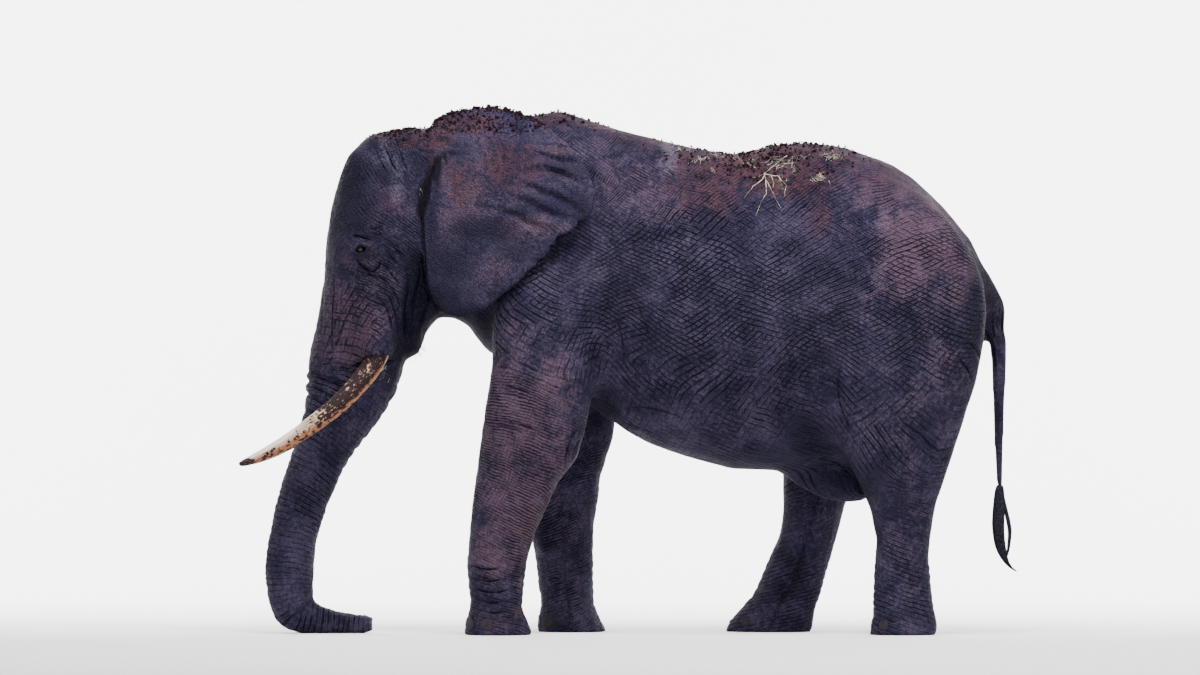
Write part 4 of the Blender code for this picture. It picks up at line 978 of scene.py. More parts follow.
HIDE_CREASE_SHADE = (0.0022, 0.0024, 0.0080, 1)  # painted shade at the bottom of a crease
HIDE_PLAIN = (0.0150, 0.0122, 0.0295, 1)
HIDE_PALE = (0.0600, 0.0475, 0.0880, 1)
SOIL_RED = (0.0600, 0.0230, 0.0270, 1)
SOIL_DARK = (0.0100, 0.0055, 0.0085, 1)
DUST_PINK = (0.1050, 0.0600, 0.0820, 1)
# A pale grey film of dust, partly a painted sheen.
SHEEN_AND_DUST_GREY = (0.1350, 0.1280, 0.1900, 1)
# Painted shade, for hide that lies in shade.
PAINTED_SHADE_BLACK = (0.0050, 0.0048, 0.0140, 1)
PITCH = (0.0350, 0.0380)  # metres between creases of each kind
HIDE_SHINE = 0.06
HIDE_RELIEF = 0.013  # metres from the bottom of a crease to a ridge


def hide_material():
    """Bare hide: two kinds of crossing creases, the named folds, and pebbles and specks between, with the
    soil and dust lying on the ridges. The bottoms of the creases, the folds and the grooves between the
    pebbles are darkened with painted shade, patches of painted shade darken the hide where shade falls,
    and a pale grey film of dust is partly a painted sheen."""
    made = Finish("elephant_hide")
    lay = made.parts(made.stored("lay", "Vector"))
    strength = made.parts(made.stored("creases", "Color"), "ShaderNodeSeparateColor")
    soil, dust, sheen_and_dust = made.parts(made.stored("dirt_and_painted_light", "Color"), "ShaderNodeSeparateColor")[:3]
    painted_shade = made.stored("dirt_and_painted_light", "Alpha")
    fine = made.stored("fine", "Fac")

    def swing(size, reach, offset):
        """Soft noise about zero, with this reach to either side."""
        return (made.cloud(size, 2.0, offset=offset) - 0.5) * (2 * reach)

    found = []
    for kind in (0, 1):
        small = swing(0.110, 0.014, 7.0 + kind) + swing(0.024, 0.0030, 9.0 + kind)
        wander = swing(0.70, 0.060, 3.0 + kind) + small
        broken = 0.50 + made.cloud(0.085, 2.0, offset=13.0 + kind).ramp(0.36, 0.60) * 0.90
        broken = broken * (0.50 + made.cloud(0.30, 1.0, offset=23.0 + kind).ramp(0.40, 0.60) * 0.60)
        whole = made.lines(lay[kind], PITCH[kind], wander, 0.250) * broken * (1.0 - fine * 0.52)
        half = made.lines(lay[kind], PITCH[kind] / 2, wander, 0.30) * broken * (0.12 + fine * 0.78)
        found.append(whole.most(half) * strength[kind])
    cleft = abs(lay[2] + swing(0.030, 0.0045, 17.0)).ramp(0.0100, 0.0015) * strength[2]
    cleft = cleft * (0.45 + made.cloud(0.060, 2.0, offset=19.0).ramp(0.38, 0.56))
    crease = found[0].most(found[1]).most(cleft).least(1.0)

    stir = made.add("ShaderNodeTexNoise", {"Vector": made.place, "Scale": 30.0, "Detail": 2.0}, out="Color")
    stirred = made.add("ShaderNodeVectorMath", {0: stir, "Scale": 0.016}, operation="SCALE")
    stirred = made.add("ShaderNodeVectorMath", {0: made.place, 1: stirred})
    cells = {"Vector": stirred, "Scale": 85.0, "Smoothness": 0.5}
    edge = made.add("ShaderNodeTexVoronoi", cells, out="Distance", feature="SMOOTH_F1")
    pebble = edge.ramp(0.15, 0.70) * made.stored("creases", "Alpha")
    grain = made.cloud(0.007, 3.0, 0.65)
    lump = made.cloud(0.026, 3.0, 0.6, offset=5.0)
    height = crease * -1.15 + pebble * -0.42 + lump * 1.25 + grain * 0.45

    mottle = made.cloud(0.20, 4.0, 0.62, offset=11.0)
    speck = made.cloud(0.024, 4.0, 0.72, offset=2.0)
    patchy = mottle * 0.50 + speck * 0.50
    # Where the creases, named folds and pebble grooves lie: painted shade darkens them below, and soil and
    # dust keep to the ridges between.
    low = (crease + pebble * 0.34).least(1.0)
    ridge = 1.0 - low * 0.5

    def lies(amount, most):
        """How much of each kind, soil, dust, the pale grey film and painted shade, covers the hide: more of
        it first fills the noise's high spots.
        """
        return (amount + (patchy - 0.5) * 2.8).ramp(0.20, 1.05) * most

    colour = made.blend(patchy.ramp(0.40, 0.68), HIDE_PLAIN, HIDE_PALE)
    colour = made.blend(lies(dust, 0.80) * ridge, colour, DUST_PINK)
    clod = made.cloud(0.045, 4.0, 0.7, offset=31.0).ramp(0.50, 0.58)
    earth = made.blend(clod * soil.ramp(0.40, 0.75), SOIL_RED, SOIL_DARK)
    colour = made.blend(lies(soil, 0.90) * ridge, colour, earth)
    # The pale grey film: dust, and partly a painted sheen, with a painted highlight along the upper lid.
    colour = made.blend(lies(sheen_and_dust, 0.70), colour, SHEEN_AND_DUST_GREY)
    # Painted shade: the hide is darkened where shade falls, by the patches of painted shade.
    colour = made.blend(lies(painted_shade, 0.85), colour, PAINTED_SHADE_BLACK)
    dried = made.cloud(0.010, 2.0, 0.6, offset=21.0).ramp(0.64, 0.76) * 0.30
    colour = made.blend(dried * ridge, colour, SHEEN_AND_DUST_GREY)
    # Painted shade: the bottoms of the creases, named folds and pebble grooves are darkened.
    colour = made.blend(low * 0.94, colour, HIDE_CREASE_SHADE)
    return made.coat(colour, 0.52 + patchy * 0.30, HIDE_SHINE, height, 1.0, HIDE_RELIEF)


hide = base_hide()
move_to(hide.data, rounded(places_of(hide.data), edges_of(hide.data), HIDE_ROUNDING))
refine(hide, ((EYES[0], 0.13), (EYES[1], 0.13), (TRUNK_END, 0.09)))
refine(hide, ((EYES[0], 0.055), (EYES[1], 0.055)), 1)
fold_hide(hide)
thin_out(hide, HIDE_TRIANGLES)
describe(hide.data)
hide.data.shade_smooth()
hide.data.materials.append(hide_material())
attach(hide, "root")
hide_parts(*HIDE_NODES)


# --------------------------------------------------------------------------------------------------
# The tusks: two curved teeth of ivory, thick at the lip and worn blunt at the tip. They are
# stained dark by mud and bark, paler on top and tan beneath.

# The left tusk's middle line and radius: x, distance from the middle plane, z and radius.
TUSK_LINE = (
    (-1.56, 0.25, 1.83, 0.067), (-1.605, 0.266, 1.717, 0.068), (-1.69, 0.298, 1.6, 0.067),
    (-1.8, 0.328, 1.48, 0.064), (-1.93, 0.352, 1.368, 0.059), (-2.087, 0.368, 1.256, 0.052),
    (-2.24, 0.372, 1.165, 0.043), (-2.36, 0.366, 1.106, 0.032), (-2.43, 0.361, 1.08, 0.021),
    (-2.452, 0.358, 1.073, 0.012),
)
TUSK_SIDES = 36
TUSK_INSET = 0.975  # the ivory lies just inside its solid
TUSK_BLUNT = (-0.004, 0, -0.001, -0.008)  # from the last row to the worn tip's flat
TUSK_PITTING = 0.0022
TUSK_LONG, TUSK_ROUND = 1.25, 0.06  # the grain's metres along the tusk and over its height
IVORY_CREAM = (0.44, 0.30, 0.21, 1)
IVORY_WHITE = (0.72, 0.60, 0.49, 1)
IVORY_TAN = (0.230, 0.090, 0.036, 1)
IVORY_STAIN = (0.0110, 0.0056, 0.0085, 1)
IVORY_SHINE = 0.12


def frames_along(line):
    """At each point of a line: the direction sideways to it and level, and the one square to both."""
    ahead = np.gradient(line, axis=0)
    ahead /= np.linalg.norm(ahead, axis=1, keepdims=True)
    level = np.cross(ahead, (0.0, 0.0, 1.0))
    level /= np.linalg.norm(level, axis=1, keepdims=True)
    return level, np.cross(level, ahead)


def ring_faces(rings, sides):
    """Quads between neighbouring rings of a tube, as rows of four point numbers."""
    first = np.arange(rings - 1)[:, None] * sides
    k = np.arange(sides)
    after = (k + 1) % sides
    quads = [first + k, first + after, first + sides + after, first + sides + k]
    return np.stack(quads, axis=-1).reshape(-1, 4)


def mend(obj, merge=0.0):
    """Merges points nearer than merge, closes open ends and turns all faces outwards."""
    work = bmesh.new()
    work.from_mesh(obj.data)
    if merge:
        bmesh.ops.remove_doubles(work, verts=work.verts, dist=merge)
    bmesh.ops.holes_fill(work, edges=[edge for edge in work.edges if edge.is_boundary], sides=0)
    bmesh.ops.recalc_face_normals(work, faces=work.faces)
    work.to_mesh(obj.data)
    work.free()
    obj.data.shade_smooth()


def tusk_wear(share, height):
    """How stained, how tan and how pale the ivory is, by the share of the way to the tip and the height from
    -1 below to 1 above: stained at the lip and the tip, tan beneath, white on top towards the tip."""
    root = rise(0.52, 0.36, share)
    stained = 0.36 + 0.52 * root * rise(-0.75, -0.35, height)
    stained += 0.16 * rise(0.36, 0.50, share) * rise(0.3, -0.3, height)
    stained += 1.9 * rise(0.76, 0.84, share) * rise(0.95, 0.3, height)
    stained -= 0.30 * rise(0.50, 0.62, share) * rise(0.0, 0.6, height)
    tan_below = rise(0.30, -0.50, height) * (0.75 + 0.25 * rise(0.5, 0.3, share)) + 0.35 * root
    pale_above = rise(0.40, 0.70, share) * rise(-0.1, 0.7, height) * rise(0.97, 0.9, share)
    return np.stack([stained, tan_below, pale_above], axis=1)


def tusk(name, flank, seed):
    """Circles carried along the tusk's line: each point is the line's, plus the radius times the bearing
    round it, less shallow lengthwise grooves and pits."""
    rows = smooth_line(TUSK_LINE, 12)
    rows = np.concatenate([rows, rows[-1:] + TUSK_BLUNT])
    line = (rows[:, :3] * (1, flank, 1))[:, None]
    level, above = frames_along(line[:, 0])
    bearing = np.linspace(0, 2 * np.pi, TUSK_SIDES, endpoint=False)
    groove = 1 - 0.018 * np.sin(7 * bearing + 1.3) ** 2 - 0.012 * np.sin(17 * bearing) ** 2
    radius = rows[:, 3:4] * TUSK_INSET * groove
    across, up = np.cos(bearing)[:, None], np.sin(bearing)[:, None]
    points = line + radius[..., None] * (across * level[:, None] + up * above[:, None])
    flat = points.reshape(-1, 3)
    outward = (points - line).reshape(-1, 3)
    pits = TUSK_PITTING * lattice_noise(flat, 0.05, seed)[:, None]
    flat = flat + pits * outward / rows[:, 3:4].repeat(TUSK_SIDES, 0).clip(0.01)
    piece = mesh_from(name + "_ivory", flat, ring_faces(len(rows), TUSK_SIDES))
    mend(piece)
    share = np.repeat(np.linspace(0, 1, len(rows)), TUSK_SIDES)
    height = np.tile(np.sin(bearing), len(rows))
    store(piece.data, "lay", np.stack([share * TUSK_LONG, height * TUSK_ROUND, share * 0], axis=1))
    store(piece.data, "wear", tusk_wear(share, height))
    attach(piece, "root")
    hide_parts(name)
    return piece


def ivory_material():
    """Ivory with a lengthwise grain: cream, white above, tan beneath, with a dark broken stain and
    fine cracks."""
    made = Finish("tusk_ivory")
    lay = made.stored("lay", "Vector")
    stained, tan_below, pale_above = made.parts(made.stored("wear", "Vector"))
    drawn = made.stretched(lay, (0.30, 1.0, 1.0))
    streak = made.cloud(0.014, 5.0, 0.65, place=drawn)
    patchy = made.cloud(0.030, 4.0, 0.65) * 0.6 + streak * 0.4
    colour = made.blend((tan_below + patchy).ramp(0.60, 1.25), IVORY_CREAM, IVORY_TAN)
    colour = made.blend((pale_above + patchy).ramp(0.75, 1.10), colour, IVORY_WHITE)
    stain = (stained + (patchy - 0.5) * 3.4).ramp(0.46, 0.64)
    colour = made.blend(stain * 0.97, colour, IVORY_STAIN)
    fleck = made.cloud(0.009, 3.0, 0.6, offset=9.0, place=drawn).ramp(0.60, 0.66)
    colour = made.blend(fleck * 0.60, colour, IVORY_CREAM)
    crack = made.lines(made.parts(lay)[1], 0.011, streak * 0.02, 0.05) * patchy.ramp(0.5, 0.6)
    colour = made.blend(crack * 0.5, colour, IVORY_STAIN)
    return made.coat(colour, 0.34 + stain * 0.45, IVORY_SHINE, streak * 0.5 - crack, 0.5, 0.002)


ivory = ivory_material()
for tusk_name, tusk_flank, tusk_seed in (("tusk_left", -1, 21), ("tusk_right", 1, 22)):
    tusk(tusk_name, tusk_flank, tusk_seed).data.materials.append(ivory)


# --------------------------------------------------------------------------------------------------
# The eyes: small wet balls, amber brown and nearly black at this size, set behind thick lids.
# A pupil and an iris stand out a little from each ball, on the outer side.

EYE_RADIUS = 0.0240
EYE_RINGS, EYE_SIDES = 33, 48
EYE_BULGE = 0.05  # the iris stands out by this share of the radius
EYE_BLACK = (0.004, 0.003, 0.003, 1)
EYE_WHITE = (0.010, 0.007, 0.008, 1)
IRIS_DARK = (0.004, 0.0025, 0.002, 1)
IRIS_AMBER = (0.014, 0.0070, 0.005, 1)
PUPIL_EDGE, IRIS_EDGE = (0.30, 0.36), (0.62, 0.76)  # angles from the middle of the pupil, in radians


def eyeball(name, middle):
    """A ball: each point is the middle plus the radius times a direction given by two angles, with a slight
    bulge over the iris."""
    polar = np.linspace(0, np.pi, EYE_RINGS)
    bearing = np.linspace(0, 2 * np.pi, EYE_SIDES, endpoint=False)
    flank = np.sign(middle[1])
    radius = EYE_RADIUS * (1 + EYE_BULGE * bell(polar / 0.6))
    out = flank * np.cos(polar)[:, None] * np.ones(EYE_SIDES)
    ahead = np.sin(polar)[:, None] * np.cos(bearing)
    up = np.sin(polar)[:, None] * np.sin(bearing)
    points = middle + radius[:, None, None] * np.stack([ahead, out, up], axis=-1)
    ball = mesh_from(name + "_ball", points.reshape(-1, 3), ring_faces(EYE_RINGS, EYE_SIDES))
    mend(ball, 0.00002)
    off = places_of(ball.data) - middle
    store(ball.data, "from_pupil", np.arccos(np.clip(off[:, 1] * flank / np.linalg.norm(off, axis=1), -1, 1)))
    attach(ball, "root")
    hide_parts(name)
    return ball


def eye_material():
    """A black pupil, an amber-brown iris with fine spokes, and a dark brown white, under a wet film."""
    made = Finish("eye_wet")
    angle = made.stored("from_pupil", "Fac")
    iris = made.blend(made.cloud(0.0012, 3.0), IRIS_DARK, IRIS_AMBER)
    colour = made.blend(angle.ramp(*PUPIL_EDGE), EYE_BLACK, iris)
    colour = made.blend(angle.ramp(*IRIS_EDGE), colour, EYE_WHITE)
    return made.coat(colour, 0.12, 0.35)


eye = eye_material()
for eye_name, eye_middle in zip(EYE_NAMES, EYES):
    eyeball(eye_name, eye_middle).data.materials.append(eye)


# --------------------------------------------------------------------------------------------------
# The toenails: thick plates of horn let into the rim of each foot, four before and three
# behind, grey brown, ridged downwards and caked with mud at the edges.

SOLES = np.array(((-0.827, -0.307), (-0.369, 0.304), (1.715, -0.309), (0.889, 0.308)))  # their middles
NAIL_PRESS = 0.70  # the share of its thickness that a plate is pressed in by
NAIL_STANDS = 0.006  # the most that a plate stands out of the hide
NAIL_SQUARE = 0.004  # how far its upper and lower edge are drawn out
HORN_DARK, HORN_PALE = (0.010, 0.008, 0.013, 1), (0.034, 0.027, 0.036, 1)
HORN_MUD = (0.014, 0.008, 0.010, 1)


def nail_material():
    """Horn with upright ridges, darker and muddier towards the ground."""
    made = Finish("nail_horn")
    ridges = made.cloud(0.009, 3.0, 0.6, place=made.stretched(made.place, (1.0, 1.0, 0.12)))
    mud = made.cloud(0.035, 4.0, 0.6)
    colour = made.blend(ridges, HORN_DARK, HORN_PALE)
    muddy = (mud - made.parts(made.place)[2] * 3.0).ramp(0.20, 0.50)
    colour = made.blend(muddy * 0.75, colour, HORN_MUD)
    return made.coat(colour, 0.70, 0.10, ridges + mud * 0.6, 0.6, 0.003)


def nail(name):
    """The nail's solid, merged and rounded by two subdivisions, then pressed flatter against the foot: each
    point moves in by a share of how far it stands out, and stays within reach of the hide."""
    piece = mesh_of_triangles(name, node_triangles(name))
    mend(piece, 0.0001)
    round_off = piece.modifiers.new("round", "SUBSURF")
    round_off.levels = round_off.render_levels = 2
    settle(piece)
    places = places_of(piece.data)
    middle = places.mean(axis=0)
    foot = min(SOLES, key=lambda sole: np.hypot(*(middle[:2] - sole)))
    out = np.append((middle[:2] - foot) / np.hypot(*(middle[:2] - foot)), 0)
    proud = (places - middle) @ out
    up = places[:, 2] - middle[2]
    places[:, 2] += np.sign(up) * NAIL_SQUARE * rise(0.012, 0.030, np.abs(up))
    places -= out * (NAIL_PRESS * proud.clip(0))[:, None]
    skin = BVHTree.FromObject(hide, bpy.context.evaluated_depsgraph_get())
    for k, place in enumerate(places):
        near, normal, _, _ = skin.find_nearest(Vector(place))
        if (Vector(place) - near).dot(normal) > NAIL_STANDS:
            places[k] = near + normal * NAIL_STANDS
    move_to(piece.data, places)
    piece.data.shade_smooth()
    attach(piece, "root")
    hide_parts(name)
    return piece


horn = nail_material()
for nail_name in sorted(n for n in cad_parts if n.startswith("nail_")):
    plate = nail(nail_name)
    plate.name = nail_name + "_plate"
    plate.data.materials.append(horn)


# --------------------------------------------------------------------------------------------------
# The hair: stiff black wires at the end of the tail, in two locks that part and meet again,
# a soft brown fringe over the ear's root, a few bristles on the chin and along the back.

# The tail's two locks, in x and z from the root down, and for each its number of wires and how
# far they spread from its line.
TAIL_LOCKS = (
    ((2.344, 0.935), (2.343, 0.9), (2.338, 0.78), (2.334, 0.668), (2.344, 0.57), (2.365, 0.495),
     (2.4, 0.43), (2.452, 0.388)),
    ((2.346, 0.935), (2.354, 0.905), (2.378, 0.795), (2.402, 0.69), (2.408, 0.62), (2.398, 0.53),
     (2.385, 0.47), (2.405, 0.44)),
)
LOCK_WIRES = ((760, 0.030), (200, 0.010))
WIRE_STEPS = 14
WIRE_DARK, WIRE_PALE = (0.007, 0.007, 0.013, 1), (0.030, 0.027, 0.042, 1)
FRINGE_DARK, FRINGE_PALE = (0.003, 0.0025, 0.006, 1), (0.014, 0.009, 0.016, 1)
BRISTLE_DARK, BRISTLE_PALE = (0.012, 0.010, 0.014, 1), (0.050, 0.040, 0.050, 1)


def hairs(name, middles, girth, roots_uv, material, sides=3):
    """Many tapering hairs. middles is an array of hairs by steps by x, y and z; each is a tube with `sides`
    corners, whose girth falls from root to tip. Its map is a small patch at the root's place."""
    count, steps = middles.shape[:2]
    ahead = np.gradient(middles, axis=1)
    ahead /= np.linalg.norm(ahead, axis=2, keepdims=True).clip(1e-9)
    level = np.cross(ahead, (0.35, 0.80, 0.48))
    level /= np.linalg.norm(level, axis=2, keepdims=True).clip(1e-9)
    above = np.cross(ahead, level)
    bearing = np.linspace(0, 2 * np.pi, sides, endpoint=False)
    along = np.linspace(0, 1, steps)
    thick = np.asarray(girth).reshape(-1, 1) * (0.15 + 0.85 * (1 - along**2.5))
    across, up = np.cos(bearing)[:, None], np.sin(bearing)[:, None]
    rim = across * level[:, :, None] + up * above[:, :, None]
    points = middles[:, :, None] + thick[:, :, None, None] * rim
    faces = (np.arange(count)[:, None, None] * steps * sides + ring_faces(steps, sides)).reshape(-1, 4)
    piece = mesh_from(name, points.reshape(-1, 3), faces)
    corner = read(piece.data.loops, "vertex_index", 1, np.int32).ravel()
    patch = np.stack(np.meshgrid(along, np.arange(sides) / sides, indexing="ij"), axis=-1)
    unwrapped = (roots_uv[:, None] * 0.99 + patch.reshape(-1, 2) * 0.003).reshape(-1, 2)
    layer = piece.data.uv_layers.new(name="OFBake")
    layer.data.foreach_set("uv", unwrapped[corner].astype(np.float32).ravel())
    piece.data.materials.append(material)
    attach(piece, "root")
    return piece


def hair_material(name, root, tip):
    """Coarse hair between two tones, darker and lighter from hair to hair, faintly glossy."""
    made = Finish(name)
    tone = made.blend(made.cloud(0.012, 2.0).ramp(0.35, 0.65), root, tip)
    return made.coat(tone, 0.60, 0.12, made.cloud(0.002, 2.0), 0.3, 0.0005)


def tail_brush():
    """Wires that follow one of the two locks, each offset from its lock's line by a share that swells in
    the middle and closes at the end."""
    chance = np.random.default_rng(31)
    middles, root_uv = [], []
    for lock, (count, spread_out) in enumerate(LOCK_WIRES):
        line = smooth_line(TAIL_LOCKS[lock], 4)
        run = np.linspace(0, 1, len(line))
        last = chance.uniform(0.72, 1.0, count)
        share = np.linspace(0, 1, WIRE_STEPS)[None] * last[:, None]
        x, z = (np.interp(share, run, line[:, k]) for k in (0, 1))
        bearing = chance.uniform(0, 2 * np.pi, count)
        off = spread_out * np.sqrt(chance.uniform(0.02, 1, count))
        swell = 0.35 + 0.9 * np.sin(np.pi * np.clip(share * 1.1 + 0.05, 0, 1)) ** 0.8
        wave = 0.0025 * np.sin(9 * share + chance.uniform(0, 6, count)[:, None])
        x = x + (off * np.cos(bearing))[:, None] * swell + wave
        y = 1.3 * (off * np.sin(bearing))[:, None] * swell + wave
        middles.append(np.stack([x, y, z], axis=-1))
        root_uv.append(np.stack([bearing / (2 * np.pi), np.full(count, 0.25 + 0.5 * lock)], axis=1))
    middles, root_uv = np.concatenate(middles), np.concatenate(root_uv)
    girth = chance.uniform(0.0011, 0.0019, len(middles))
    wire = hair_material("tail_wire", WIRE_DARK, WIRE_PALE)
    return hairs("tail_brush", middles, girth, root_uv, wire)


def drooping(roots, aims, lengths, droop, steps=5):
    """Middle lines of short hairs: the root, plus the aim times the length, less a droop that grows with
    the square of the way."""
    t = np.linspace(0, 1, steps)[None, :, None]
    middles = roots[:, None] + aims[:, None] * lengths[:, None, None] * t
    middles[..., 2] -= (droop * lengths)[:, None] * t[..., 0] ** 2
    return middles


def hide_spots(choose, count, seed):
    """Random points of the hide where choose, a function of places and normals, gives a weight."""
    chance = np.random.default_rng(seed)
    places, normals = places_of(hide.data), normals_of(hide.data)
    weight = choose(places, normals)
    picked = chance.choice(len(places), count, replace=True, p=weight / weight.sum())
    return places[picked] + chance.normal(0, 0.005, (count, 3)), normals[picked], chance


def side_uv(places):
    """Where a place lies on the hide's own unwrap: the length of the animal by the way round it."""
    around = np.arctan2(places[:, 2] - 2.0, places[:, 1]) / (2 * np.pi) + 0.5
    return np.stack([(places[:, 0] + 2.6) / 5.2, around], axis=1)


def on_back(places, normals):
    """Near the middle line of the back."""
    return (normals[:, 2] > 0.75) * (places[:, 2] > 2.85) * (np.abs(places[:, 1]) < 0.2) * 1.0


def on_chin(places, normals):
    """Round the tip of the lower jaw, on what doesn't face up."""
    x, _, z = places.T
    return np.exp(-(((x + 1.37) / 0.05) ** 2 + ((z - 1.83) / 0.06) ** 2)) * (z > 1.72) * (normals[:, 2] < 0.3)


def on_ear_root(places, _):
    """Along the upper part of the fold at the ear's root."""
    line = smooth_line(EAR_ROOT[2:7], 6)
    far, along, _ = line_distance(places[:, [0, 2]] + (0.012, 0.0), line)
    return bell(far / 0.016) * (np.abs(places[:, 1]) > 0.25) * (along < 0.42)


def standing(lean):
    """Aims that follow the hide's outward direction, with some chance, and lean the given way."""
    return lambda roots, normals, chance: normals + chance.normal(0, 0.25, roots.shape) + lean


def hanging(roots, _, chance):
    """Aims that hang outwards and back, each with its own chance."""
    count = len(roots)
    back = chance.normal(0.25, 0.30, count)
    out = np.sign(roots[:, 1]) * chance.uniform(0.1, 0.6, count)
    return np.stack([back, out, chance.normal(-0.80, 0.25, count)], axis=1)


def short_hair(name, choose, aims_of, count, seed, lengths, droop, girth, material):
    """Hairs at random spots of the hide, each set by its aim and with a random length between two."""
    roots, normals, chance = hide_spots(choose, count, seed)
    aims = aims_of(roots, normals, chance)
    aims /= np.linalg.norm(aims, axis=1, keepdims=True)
    middles = drooping(roots, aims, chance.uniform(*lengths, count), droop)
    hairs(name, middles, np.full(count, girth), side_uv(roots), material)


brush = tail_brush()
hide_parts("tail_tuft")
brown = hair_material("bristle_brown", FRINGE_DARK, FRINGE_PALE)
dark = hair_material("bristle_dark", BRISTLE_DARK, BRISTLE_PALE)
for hair_row in (
    ("back_bristles", on_back, standing((0.35, 0, 0)), 420, 41, (0.008, 0.024), 0.15, 0.0006, dark),
    ("chin_bristles", on_chin, standing((0.2, 0, -0.5)), 90, 42, (0.025, 0.060), 0.25, 0.0007, dark),
    ("ear_fringe", on_ear_root, hanging, 1100, 43, (0.025, 0.080), 0.30, 0.0013, brown),
):
    short_hair(*hair_row)


# --------------------------------------------------------------------------------------------------
# Earth and grass that the animal has thrown over its back: crumbs of red soil caught on the
# crown, the ears' crests and the saddle, and torn grass over the near side and the trunk's root.

CRUMBS = 6500
CRUMB_SIZE = (0.0030, 0.0080)
CLOD_SHARE, CLOD_GROWTH = 0.05, 0.9  # this share of the crumbs is larger, by this much
SOIL_BLACK, SOIL_BROWN = (0.003, 0.0022, 0.004, 1), (0.024, 0.0100, 0.013, 1)


def on_top(places, normals):
    """The saddle of the back, by a bell curve along x, and the crests of the ears, head and shoulder."""
    x, _, z = places.T
    saddle = bell((x - 0.85) / 0.42) * rise(2.78, 2.95, z)
    crest = (x < -0.55) * rise(3.10, 3.20, z) * 0.45 + (x < 0.2) * rise(3.15, 3.25, z) * 0.3
    return (saddle + crest) * rise(0.0, 0.5, normals[:, 2]) + 1e-9


def soil_material():
    """Dry soil in dull crumbs, from nearly black to brown."""
    made = Finish("dry_soil")
    tone = made.blend(made.cloud(0.02, 3.0).ramp(0.35, 0.65), SOIL_BLACK, SOIL_BROWN)
    return made.coat(tone, 0.95, 0.05, made.cloud(0.003, 3.0), 0.7, 0.001)


def crumbs():
    """Lumps of soil: each is the same small ball of twenty faces, stretched and pushed about at random, and
    sunk nearly half into the hide."""
    work = bmesh.new()
    bmesh.ops.create_icosphere(work, subdivisions=1, radius=1.0)
    ball = np.array([v.co for v in work.verts])
    corners = np.array([[v.index for v in f.verts] for f in work.faces])
    work.free()
    roots, normals, chance = hide_spots(on_top, CRUMBS, 51)
    size = chance.uniform(*CRUMB_SIZE, CRUMBS) * (1 + CLOD_GROWTH * (chance.random(CRUMBS) > 1 - CLOD_SHARE))
    shape = ball * chance.uniform(0.6, 1.3, (CRUMBS, 1, 3)) + chance.normal(0, 0.11, (CRUMBS, len(ball), 3))
    points = roots[:, None] + size[:, None, None] * (shape + 0.10 * normals[:, None])
    faces = (np.arange(CRUMBS)[:, None, None] * len(ball) + corners).reshape(-1, 3)
    piece = mesh_from("soil_crumbs", points.reshape(-1, 3), faces)
    piece.data.materials.append(soil_material())
    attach(piece, "root")


# Stalks of the torn grass, seen from the near side: their girth, then points in x and z.
STALKS = (
    (0.003, (1.001, 3.02), (0.93, 2.965), (0.842, 2.894)),
    (0.0026, (0.842, 2.894), (0.836, 2.86), (0.775, 2.815), (0.715, 2.74)),
    (0.0026, (0.842, 2.894), (0.855, 2.853), (0.855, 2.764), (0.82, 2.71), (0.789, 2.631)),
    (0.0018, (0.855, 2.853), (0.868, 2.835), (0.9, 2.764), (0.957, 2.653)),
    (0.0024, (0.842, 2.894), (0.931, 2.88), (0.982, 2.818), (0.967, 2.742)),
    (0.002, (0.89, 2.88), (0.904, 2.84), (0.897, 2.8)),
    (0.0018, (0.613, 3.116), (0.66, 3.085), (0.721, 3.053)),
    (0.0014, (0.79, 2.935), (0.745, 2.965), (0.735, 2.99)),
    (0.0016, (0.842, 2.894), (0.8, 2.87), (0.745, 2.88)),
    (0.003, (-1.316, 2.8), (-1.303, 2.775), (-1.294, 2.743)),
    (0.0016, (-1.322, 2.77), (-1.308, 2.748), (-1.3, 2.712)),
)
# Wads of torn blades: the middle in x and z, half width, half height, slope and number.
WADS = (
    (0.445, 2.99, 0.05, 0.01, 0.15, 12), (0.52, 2.925, 0.014, 0.022, -0.9, 8),
    (0.96, 2.975, 0.06, 0.022, 0.5, 26), (0.945, 2.85, 0.036, 0.03, -0.8, 16),
    (1.18, 2.862, 0.042, 0.018, -0.4, 18), (1.29, 3.01, 0.064, 0.016, 0.3, 20),
    (0.76, 2.99, 0.04, 0.016, -0.3, 8), (1.11, 3.0, 0.04, 0.012, 0.2, 8), (0.65, 3.01, 0.06, 0.02, -0.2, 8),
    (-1.545, 1.65, 0.018, 0.045, 1.2, 16), (0.33, 3.05, 0.05, 0.014, -0.3, 7),
    (0.56, 3.02, 0.06, 0.016, -0.2, 7), (1.03, 2.92, 0.04, 0.02, 0.3, 8),
)
BLADE_STEPS = 13
BLADE_GIRTH = (0.0005, 0.0012)
GRASS_GREEN, GRASS_STRAW = (0.050, 0.060, 0.030, 1), (0.500, 0.470, 0.340, 1)


def grass_material():
    """Torn grass, from fresh green to dry straw."""
    made = Finish("torn_grass")
    tone = made.blend(made.cloud(0.045, 3.0).ramp(0.36, 0.64), GRASS_GREEN, GRASS_STRAW)
    return made.coat(tone, 0.6)


